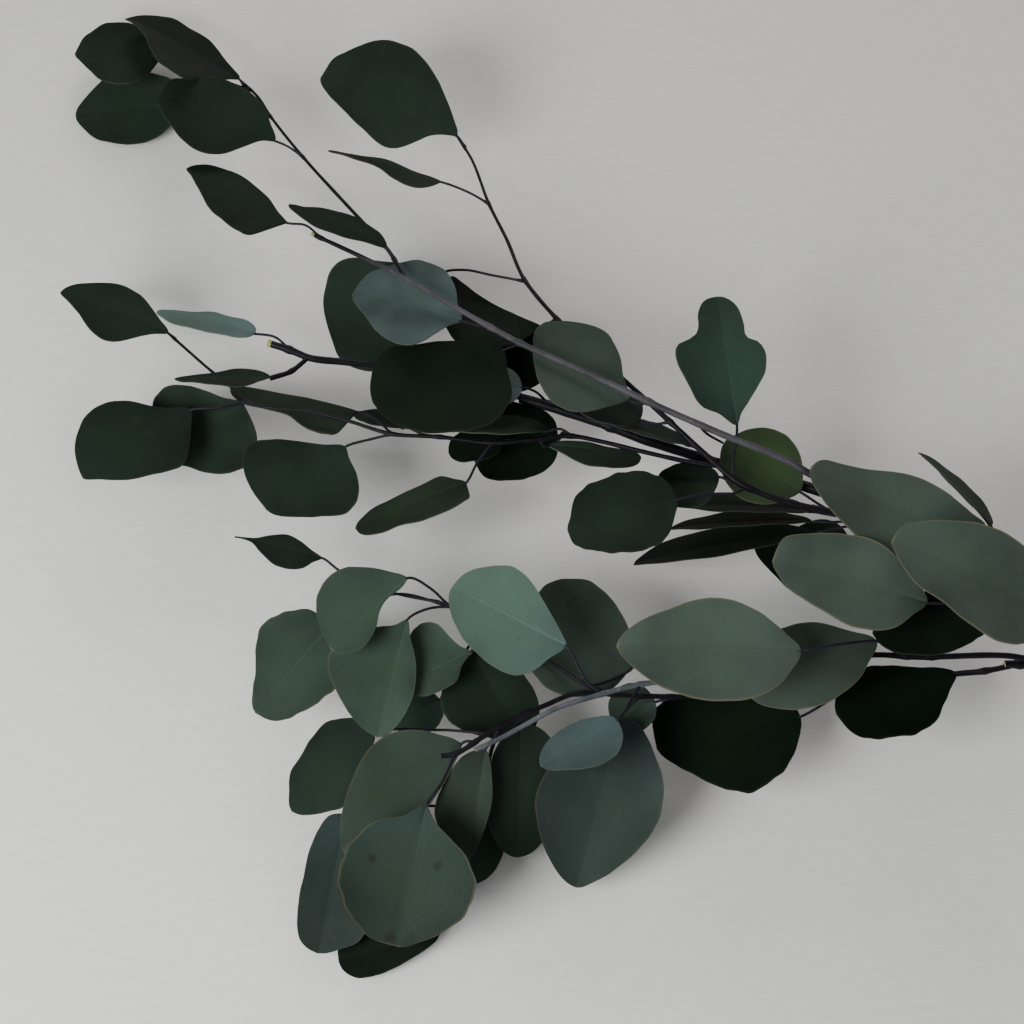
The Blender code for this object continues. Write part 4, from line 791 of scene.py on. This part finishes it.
def leaf_material(name, spots=(), fold=((), 0.0)):
    """A waxy preserved leaf: mottled, veined, rimmed, with a bloom, and paler underneath; its middle has a
    painted glow of light shining through it, and some leaves have a painted band of shade.
    """
    finish = FINISHES[name]
    look = bpy.context.scene.branch_leaves
    colour = tuple(getattr(look, name))
    material, tree, shader, place_in = new_material("leaf_" + name, look.roughness, finish.gloss)
    share = split_map(tree, "blade")[1]
    off = math_node(tree, "ABSOLUTE", math_node(tree, "MULTIPLY_ADD", share[1], 2.0, -1.0))
    midrib, side = vein_masks(tree, share)
    broad = noise(tree, place_in, 16.0, 2.0)
    fine = noise(tree, place_in, 130.0, 4.0, 0.6)
    speck = noise(tree, place_in, 900.0, 2.0)
    base = blend_colour(tree, ramp(tree, broad, 0.3, 0.7), scaled(colour, 0.72), scaled(colour, 1.22))
    patch = (colour[0] * 1.25, colour[1] * 1.10, colour[2] * 0.90)
    base = blend_colour(tree, ramp(tree, fine, 0.50, 0.78, 0.0, 0.6), base, patch)
    base = blend_colour(tree, ramp(tree, speck, 0.55, 0.75, 0.0, 0.35), base, scaled(colour, 0.55))
    # Painted light: a brighter green in the middle of the blade stands in for light shining through the
    # leaf.
    middle = times(tree, ramp(tree, share[0], 0.05, 0.45), ramp(tree, share[0], 0.98, 0.55))
    middle = times(tree, middle, ramp(tree, off, 1.0, 0.25))
    glow = times(tree, middle, finish.glow)
    base = blend_colour(tree, glow, base, (colour[0] * 1.6, colour[1] * 1.9, colour[2] * 1.35))
    bloom = times(tree, ramp(tree, share[0], 0.55, 0.0), ramp(tree, broad, 0.25, 0.65))
    pale = (colour[0] * 1.5 + 0.02, colour[1] * 1.45 + 0.03, colour[2] * 1.7 + 0.035)
    base = blend_colour(tree, times(tree, bloom, finish.bloom), base, pale)
    veined = times(tree, side, finish.vein * 0.5)
    base = blend_colour(tree, veined, base, scaled(colour, finish.paleness))
    ribbed = times(tree, midrib, finish.vein)
    base = blend_colour(tree, ribbed, base, scaled(colour, finish.paleness * 1.4))
    rim = times(tree, edge_mask(tree, share, off), finish.rim)
    base = blend_colour(tree, rim, base, tuple(look.rim))
    # Painted shade: a soft dark band along the given points, where the real leaf bends into shade.
    for sighting in fold[0]:
        gap = distance_to(tree, place_in, sighting)
        shade = ramp(tree, gap, fold[1] * 2.2 * MM, fold[1] * 0.3 * MM, 0.0, 0.45)
        base = blend_colour(tree, shade, base, scaled(colour, 0.25))
    for sighting, radius in spots:
        gap = distance_to(tree, place_in, sighting)
        uneven = math_node(tree, "MULTIPLY_ADD", fine, 0.004, gap)
        mark = ramp(tree, uneven, (radius + 3.4) * MM, (radius + 1.0) * MM, 0.0, 0.8)
        base = blend_colour(tree, mark, base, tuple(look.spot))
    under = add_node(tree, "ShaderNodeAttribute", attribute_name="underside").outputs["Fac"]
    beneath = blend_colour(tree, 0.5, scaled(colour, 1.35), (0.085, 0.105, 0.09))
    base = blend_colour(tree, times(tree, under, 0.75), base, beneath)
    rough = ramp(tree, speck, 0.3, 0.75, look.roughness - 0.04, look.roughness + 0.06)
    tree.links.new(rough, shader.inputs["Roughness"])
    height = math_node(tree, "MULTIPLY_ADD", side, -0.35, times(tree, fine, 0.8))
    height = math_node(tree, "MULTIPLY_ADD", midrib, -0.6, height)
    height = math_node(tree, "MULTIPLY_ADD", speck, 0.18, height)
    dress(tree, shader, base, height, 0.35, 0.4 * MM)
    return material


def bark_material(name):
    """Smooth twig bark: a mottled skin with paler pores, dark along its DARK_RUNS, and on the grey and pale
    barks lighter in stretches that are partly a painted highlight.
    """
    look = bpy.context.scene.branch_stems
    colour = tuple(getattr(look, name))
    material, tree, shader, place_in = new_material(name, 0.6, 0.14)
    broad = noise(tree, place_in, 45.0, 3.0)
    grain = noise(tree, place_in, 420.0, 4.0, 0.65)
    cells = add_node(tree, "ShaderNodeTexVoronoi", {"Vector": place_in, "Scale": 260.0})
    pores = ramp(tree, cells.outputs["Distance"], 0.22, 0.10, 0.0, 0.5)
    base = blend_colour(tree, ramp(tree, broad, 0.3, 0.7), scaled(colour, 0.6), scaled(colour, 1.25))
    base = blend_colour(tree, ramp(tree, grain, 0.5, 0.8, 0.0, 0.5), base, scaled(colour, 1.7))
    pale = tuple(channel * paler + 0.004 for channel, paler in zip(colour, (2.2, 2.1, 2.0)))
    base = blend_colour(tree, pores, base, pale)
    across = add_node(tree, "ShaderNodeSeparateXYZ", {0: place_in}).outputs[0]
    for grey, dark in DARK_RUNS.get(name, ()):
        run = ramp(tree, across, place(grey).x, place(dark).x)
        base = blend_colour(tree, run, base, tuple(look.dark_bark))
    tree.links.new(ramp(tree, grain, 0.3, 0.8, 0.38, 0.62), shader.inputs["Roughness"])
    height = math_node(tree, "ADD", grain, times(tree, pores, 0.5))
    dress(tree, shader, base, height, 0.5, 0.4 * MM)
    return material


def stalk_material():
    """A leaf stalk: purple-black, and green where it runs into the blade as its midrib."""
    look = bpy.context.scene.branch_stems
    colour = tuple(look.stalk)
    material, tree, shader, place_in = new_material("leaf_stalk", 0.55, 0.16)
    reach = add_node(tree, "ShaderNodeAttribute", attribute_name="reach").outputs["Fac"]
    grain = noise(tree, place_in, 300.0, 3.0)
    base = blend_colour(tree, ramp(tree, grain, 0.35, 0.7), scaled(colour, 0.7), scaled(colour, 1.5))
    base = blend_colour(tree, ramp(tree, reach, 0.95, 1.35, 0.0, 0.9), base, tuple(look.midrib))
    dress(tree, shader, base, grain, 0.3, 0.2 * MM)
    return material


def cut_wood_material():
    """The pale wood of a cut end, finely mottled."""
    look = bpy.context.scene.branch_stems
    colour = tuple(look.cut_wood)
    material, tree, shader, place_in = new_material("cut_wood", 0.7, 0.3)
    grain = noise(tree, place_in, 900.0, 4.0, 0.7)
    base = blend_colour(tree, ramp(tree, grain, 0.35, 0.7), scaled(colour, 0.7), scaled(colour, 1.15))
    dress(tree, shader, base, grain, 0.4, 0.2 * MM)
    return material


def shared_material(name, make, *inputs):
    """The named material, made once and then shared."""
    found = bpy.data.materials.get(name)
    return found or make(*inputs)


def deselect_all():
    if bpy.context.object and bpy.context.object.mode != "OBJECT":
        bpy.ops.object.mode_set(mode="OBJECT")
    bpy.ops.object.select_all(action="DESELECT")


def make_only(piece):
    deselect_all()
    piece.select_set(True)
    bpy.context.view_layer.objects.active = piece


def apply_modifier(piece, kind, **settings):
    make_only(piece)
    bpy.ops.object.modifier_add(type=kind)
    modifier = piece.modifiers[-1]
    for key, value in settings.items():
        setattr(modifier, key, value)
    bpy.ops.object.modifier_apply(modifier=modifier.name)


def mark_reach(piece, route, lengths):
    """Each point of a tube keeps how far along its route it lies, as an attribute."""
    tree = KDTree(len(route))
    for index, point in enumerate(route):
        tree.insert(point, index)
    tree.balance()
    values = [lengths[tree.find(vert.co)[1]] for vert in piece.data.vertices]
    attribute = piece.data.attributes.new("reach", "FLOAT", "POINT")
    attribute.data.foreach_set("value", values)


def tube(name, route, radii, sides):
    """A round tube along a route, as thick at each point as its own radius says."""
    deselect_all()
    bpy.ops.curve.primitive_bezier_curve_add(location=(0, 0, 0))
    piece = bpy.context.object
    piece.name = name
    curve = piece.data
    curve.splines.clear()
    curve.dimensions = "3D"
    curve.bevel_depth = 1.0
    curve.bevel_resolution = (sides - 4) // 2
    curve.use_fill_caps = True
    spline = curve.splines.new("POLY")
    spline.points.add(len(route) - 1)
    for point, place_on, radius in zip(spline.points, route, radii):
        point.co = (*place_on, 1)
        point.radius = radius
    bpy.ops.object.convert(target="MESH")
    piece = bpy.context.object
    piece.data.name = name
    bpy.ops.object.mode_set(mode="EDIT")
    bpy.ops.mesh.select_all(action="SELECT")
    bpy.ops.mesh.remove_doubles(threshold=1e-6)
    bpy.ops.mesh.normals_make_consistent(inside=False)
    bpy.ops.object.mode_set(mode="OBJECT")
    piece.data.materials.clear()
    return piece


def trim_cut_end(piece, end, heading, radius, bare):
    """The sawn face at a tube's end gets a bevelled bark edge and its own wood."""
    make_only(piece)
    bpy.ops.object.mode_set(mode="EDIT")
    bpy.ops.mesh.select_mode(type="FACE")
    bpy.ops.mesh.select_all(action="DESELECT")
    bm = bmesh.from_edit_mesh(piece.data)
    caps = [
        face for face in bm.faces
        if (face.calc_center_median() - end).length < radius * 0.6 and face.normal.dot(heading) > 0.7
    ]
    if bare:
        for face in bm.faces:
            if (face.calc_center_median() - end).dot(heading) > -BARE_TIP:
                face.material_index = BARE_WOOD
    for face in caps:
        face.select_set(True)
        face.material_index = BARK_RING
    bmesh.update_edit_mesh(piece.data)
    if caps:
        bpy.ops.mesh.inset(thickness=radius * 0.16, depth=radius * 0.06)
        bm = bmesh.from_edit_mesh(piece.data)
        for face in bm.faces:
            if face.select:
                face.material_index = BARE_WOOD
        bmesh.update_edit_mesh(piece.data)
    bpy.ops.object.mode_set(mode="OBJECT")


def settle(piece, node):
    """Shaded smooth, tied to the branch, and its solid hidden."""
    make_only(piece)
    for vert in piece.data.vertices:
        vert.co.z = max(vert.co.z, 0.0)
    bpy.ops.object.shade_smooth_by_angle(angle=SMOOTH_ANGLE)
    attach(piece, "root")
    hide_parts(node)


def stem_piece(name, stem, joints, bark, node):
    """A stem of uneven thickness, swollen a little at each joint, with a sawn tip."""
    look = bpy.context.scene.branch_stems
    points = [place(point) for point in stem.points]
    route = smooth_route(points, ROUTE_STEP)
    start, finish = (radius * MM for radius in stem.radii_mm)
    draw = random.Random(name)
    phases = [draw.uniform(0, math.tau) for _ in range(3)]
    runs, radii = run_lengths(route), []
    for point, reached in zip(route, runs):
        radius = start + (finish - start) * reached / runs[-1]
        uneven = 1 + 0.025 * math.sin(reached * 190 + phases[0]) + 0.02 * math.sin(reached * 430 + phases[1])
        knob = max((math.exp(-(((point - joint).length / KNOB_REACH) ** 2)) for joint in joints), default=0)
        radii.append(radius * (uneven + look.knobs * knob))
    piece = tube(name, route, radii, STEM_SIDES)
    for material in (
        shared_material(bark, bark_material, bark),
        shared_material("dark_bark", bark_material, "dark_bark"),
        shared_material("cut_wood", cut_wood_material),
    ):
        piece.data.materials.append(material)
    heading = (route[-1] - route[-2]).normalized()
    trim_cut_end(piece, route[-1], heading, radii[-1], name in BARE_TIPS)
    settle(piece, node)


def blade_piece(blade):
    """A blade from a grid, shaped to the leaf's outline, folds and edge, then thickened."""
    look = bpy.context.scene.branch_leaves
    deselect_all()
    columns, rows = BLADE_GRID
    bpy.ops.mesh.primitive_grid_add(x_subdivisions=columns, y_subdivisions=rows, size=2)
    piece = bpy.context.object
    mesh = piece.data
    stations = [(vert.co.x + 1) / 2 for vert in mesh.vertices]
    sides = [-vert.co.y for vert in mesh.vertices]
    spots = [blade.spot(station, side) for station, side in zip(stations, sides)]
    for layer in list(mesh.uv_layers):
        mesh.uv_layers.remove(layer)
    shares = mesh.uv_layers.new(name="blade")
    span = mesh.uv_layers.new(name="span")
    for loop in mesh.loops:
        position, offset, _ = spots[loop.vertex_index]
        shares.data[loop.index].uv = (position / blade.length, (sides[loop.vertex_index] + 1) / 2)
        span.data[loop.index].uv = (position * 100, offset * 100)
    for vert, station, side in zip(mesh.vertices, stations, sides):
        vert.co = blade.point(station, side)
    apply_modifier(piece, "SOLIDIFY", thickness=look.thickness, offset=0.0, use_even_offset=False)
    under = [1.0 if vert.normal.dot(blade.out) < 0 else 0.0 for vert in piece.data.vertices]
    attribute = piece.data.attributes.new("underside", "FLOAT", "POINT")
    attribute.data.foreach_set("value", under)
    return piece


def stalk_piece(plan, blade):
    """The leaf's stalk, swollen at its foot, which thins out under the blade as its midrib."""
    look = bpy.context.scene.branch_stems
    points = [place(point) for point in plan.petiole]
    joined = run_lengths(smooth_route(points, STALK_STEP))[-1]
    ribs = [blade.point(station, 0.0) - blade.out * GROOVE_DEPTH for station in MIDRIB_STATIONS]
    route = smooth_route(points + ribs, ROUTE_STEP)
    runs, radii = run_lengths(route), []
    for reached in runs:
        foot = math.exp(-((reached / FOOT_REACH) ** 2))
        inside = max(0.0, (reached - joined) / (runs[-1] - joined))
        radii.append(look.stalk_radius * (1 + 0.7 * foot) * (1 - 0.78 * inside ** 0.6))
    piece = tube("stalk", route, radii, STALK_SIDES)
    mark_reach(piece, route, [reached / joined for reached in runs])
    piece.data.materials.append(shared_material("leaf_stalk", stalk_material))
    return piece


def leaf_piece(plan, node):
    """One whole leaf, blade and stalk in one piece."""
    look = bpy.context.scene.branch_leaves
    blade = Blade(plan, look.crinkle)
    stalk = stalk_piece(plan, blade)
    piece = blade_piece(blade)
    spots, fold = SPOTS.get(plan.name, ()), FOLD_SHADES.get(plan.name, ((), 0.0))
    if spots or fold[0]:
        material = leaf_material(plan.finish, spots, fold)
        material.name = "leaf_" + plan.name
    else:
        material = shared_material("leaf_" + plan.finish, leaf_material, plan.finish)
    piece.data.materials.append(material)
    make_only(piece)
    stalk.select_set(True)
    bpy.ops.object.join()
    piece = bpy.context.object
    piece.name = "leaf_" + plan.name
    piece.data.name = piece.name
    settle(piece, node)


def colour_property(name, description, colour):
    return FloatVectorProperty(name=name, description=description, default=colour, subtype="COLOR")


class LeafLook(bpy.types.PropertyGroup):
    """Sizes and colours of the leaves."""

    thickness: FloatProperty(
        name="Thickness", description="Thickness of a blade", default=0.55 * MM, unit="LENGTH"
    )
    crinkle: FloatProperty(
        name="Crinkle", description="How finely uneven the edges are", default=0.005, subtype="FACTOR"
    )
    roughness: FloatProperty(
        name="Roughness", description="Roughness of the waxy skin", default=0.62, subtype="FACTOR"
    )
    rim: colour_property("Rim", "Colour of the thin dry edge", (0.16, 0.13, 0.06))
    spot: colour_property("Spot", "Colour of the brown spots", (0.012, 0.015, 0.008))


for finish_name, finish_look in FINISHES.items():
    LeafLook.__annotations__[finish_name] = colour_property(
        finish_name.replace("_", " ").capitalize(), finish_look.worn_by, finish_look.colour
    )


class StemLook(bpy.types.PropertyGroup):
    """Sizes and colours of the stems and stalks."""

    stalk_radius: FloatProperty(
        name="Stalk radius", description="Radius of a leaf's stalk", default=0.72 * MM, unit="LENGTH"
    )
    knobs: FloatProperty(
        name="Knobs", description="How far a stem swells at each joint", default=0.35, subtype="FACTOR"
    )
    dark_bark: colour_property("Dark bark", "Purple-black bark", (0.006, 0.005, 0.008))
    # The grey and pale barks are partly painted highlight: lighter where the real stems catch the light.
    grey_bark: colour_property("Grey bark", "The bark of the front stem", (0.056, 0.052, 0.058))
    pale_bark: colour_property("Pale bark", "The bark of the lower stem", (0.078, 0.082, 0.092))
    stalk: colour_property("Stalk", "Purple-black leaf stalks", (0.013, 0.011, 0.018))
    midrib: colour_property("Midrib", "The midrib under a blade", (0.060, 0.082, 0.062))
    cut_wood: colour_property("Cut wood", "The wood of a cut end", (0.30, 0.33, 0.10))


class StageLook(bpy.types.PropertyGroup):
    """The table and its light."""

    table: colour_property("Table", "Colour of the table", (0.81, 0.785, 0.755))
    window: FloatProperty(
        name="Window", description="Power of the light from behind; the fill follows it",
        default=22.0, unit="POWER",
    )
    sky: FloatProperty(
        name="Sky", description="Strength of the light from all round", default=0.35, subtype="FACTOR"
    )


class BRANCH_OT_woody_fork(bpy.types.Operator):
    """The trunk and the two arms that the leafy stems grow from"""

    bl_idname = "branch.woody_fork"
    bl_label = "Woody fork"

    def execute(self, context):
        joints = [place(plan["twigs"][0].points[0]) for plan in LEAFY.values()]
        for name, stem in WOOD.items():
            stem_piece("wood_" + name, stem, joints, "dark_bark", "main_stem")
        return {"FINISHED"}


class BRANCH_OT_leafy_stem(bpy.types.Operator):
    """One leafy stem: its twigs, and each of its leaves with its own stalk"""

    bl_idname = "branch.leafy_stem"
    bl_label = "Leafy stem"

    stem: EnumProperty(
        name="Stem", description="Which leafy stem", items=[(name, name, name) for name in LEAFY]
    )

    def execute(self, context):
        plan = LEAFY[self.stem]
        joints = [place(blade.petiole[0]) for blade in plan["leaves"]]
        for number, twig in enumerate(plan["twigs"]):
            name = f"{self.stem}_twig_{number}"
            stem_piece(name, twig, joints, BARKS.get(name, "dark_bark"), self.stem)
        for blade in plan["leaves"]:
            leaf_piece(blade, self.stem)
        return {"FINISHED"}


class BRANCH_OT_stage(bpy.types.Operator):
    """The table, the light and the camera"""

    bl_idname = "branch.stage"
    bl_label = "Stage"

    def execute(self, context):
        add_table(context.scene.branch_stage)
        add_lights(context.scene)
        add_camera(context.scene)
        return {"FINISHED"}


def add_table(look):
    deselect_all()
    bpy.ops.mesh.primitive_plane_add(size=TABLE_SIDE, location=(0, 0, -TABLE_DROP))
    table = bpy.context.object
    table.name = "table"
    bpy.ops.object.transform_apply(location=True)
    material, tree, shader, place_in = new_material("table_paper", 0.85, 0.2)
    threads = {"Vector": place_in, "Scale": (0.12, 1.0, 1.0)}
    stretched = add_node(tree, "ShaderNodeMapping", threads).outputs[0]
    weave = noise(tree, stretched, 700.0, 3.0)
    colour = tuple(look.table)
    base = blend_colour(tree, ramp(tree, weave, 0.3, 0.7), scaled(colour, 0.97), scaled(colour, 1.02))
    tree.links.new(base, shader.inputs["Base Color"])
    table.data.materials.append(material)


def add_area(name, location, target, size, power, colour):
    bpy.ops.object.light_add(type="AREA", location=location)
    lamp = bpy.context.object
    lamp.name = name
    lamp.data.shape = "DISK"
    lamp.data.size = size
    lamp.data.energy = power
    lamp.data.color = colour
    lamp.rotation_euler = (Vector(target) - Vector(location)).to_track_quat("-Z", "Y").to_euler()


def add_lights(scene):
    look = scene.branch_stage
    deselect_all()
    add_area("window", (0.10, 2.30, 1.50), (0.0, -0.05, 0.0), 1.3, look.window, (1.0, 0.97, 0.94))
    fill = look.window * 0.90
    add_area("cool_fill", (-0.85, -0.75, 0.75), (-0.30, -0.30, 0.0), 0.8, fill, (0.96, 0.98, 1.0))
    world = bpy.data.worlds.new("soft_room")
    world.use_nodes = True
    world.node_tree.nodes["Background"].inputs["Color"].default_value = (0.93, 0.96, 1.0, 1)
    world.node_tree.nodes["Background"].inputs["Strength"].default_value = look.sky
    scene.world = world


def add_camera(scene):
    bpy.ops.object.camera_add(location=EYE, rotation=(math.pi / 2 - ELEVATION, 0, 0))
    camera = bpy.context.object
    camera.data.sensor_width = 36
    camera.data.lens = 36 * FOCAL_PX / PICTURE_PX
    camera.data.clip_start = 0.01
    scene.camera = camera


class BRANCH_PT_panel(bpy.types.Panel):
    """Everything that builds the branch, and the sizes and colours behind it"""

    bl_idname = "BRANCH_PT_panel"
    bl_label = "Eucalyptus Branch"
    bl_space_type = "VIEW_3D"
    bl_region_type = "UI"
    bl_category = "Branch"

    def draw(self, context):
        layout = self.layout
        layout.operator(BRANCH_OT_woody_fork.bl_idname)
        for name in LEAFY:
            layout.operator(BRANCH_OT_leafy_stem.bl_idname, text=name).stem = name
        layout.operator(BRANCH_OT_stage.bl_idname)
        for look in (context.scene.branch_leaves, context.scene.branch_stems, context.scene.branch_stage):
            box = layout.box()
            for key in look.bl_rna.properties.keys():
                if key not in ("rna_type", "name"):
                    box.prop(look, key)


CLASSES = (
    LeafLook, StemLook, StageLook,
    BRANCH_OT_woody_fork, BRANCH_OT_leafy_stem, BRANCH_OT_stage, BRANCH_PT_panel,
)


def register():
    for made in CLASSES:
        bpy.utils.register_class(made)
    bpy.types.Scene.branch_leaves = PointerProperty(type=LeafLook)
    bpy.types.Scene.branch_stems = PointerProperty(type=StemLook)
    bpy.types.Scene.branch_stage = PointerProperty(type=StageLook)


def unregister():
    del bpy.types.Scene.branch_stage
    del bpy.types.Scene.branch_stems
    del bpy.types.Scene.branch_leaves
    for made in reversed(CLASSES):
        bpy.utils.unregister_class(made)


def main():
    register()
    bpy.ops.branch.woody_fork()
    for name in LEAFY:
        bpy.ops.branch.leafy_stem(stem=name)
    bpy.ops.branch.stage()


if __name__ == "__main__":
    main()
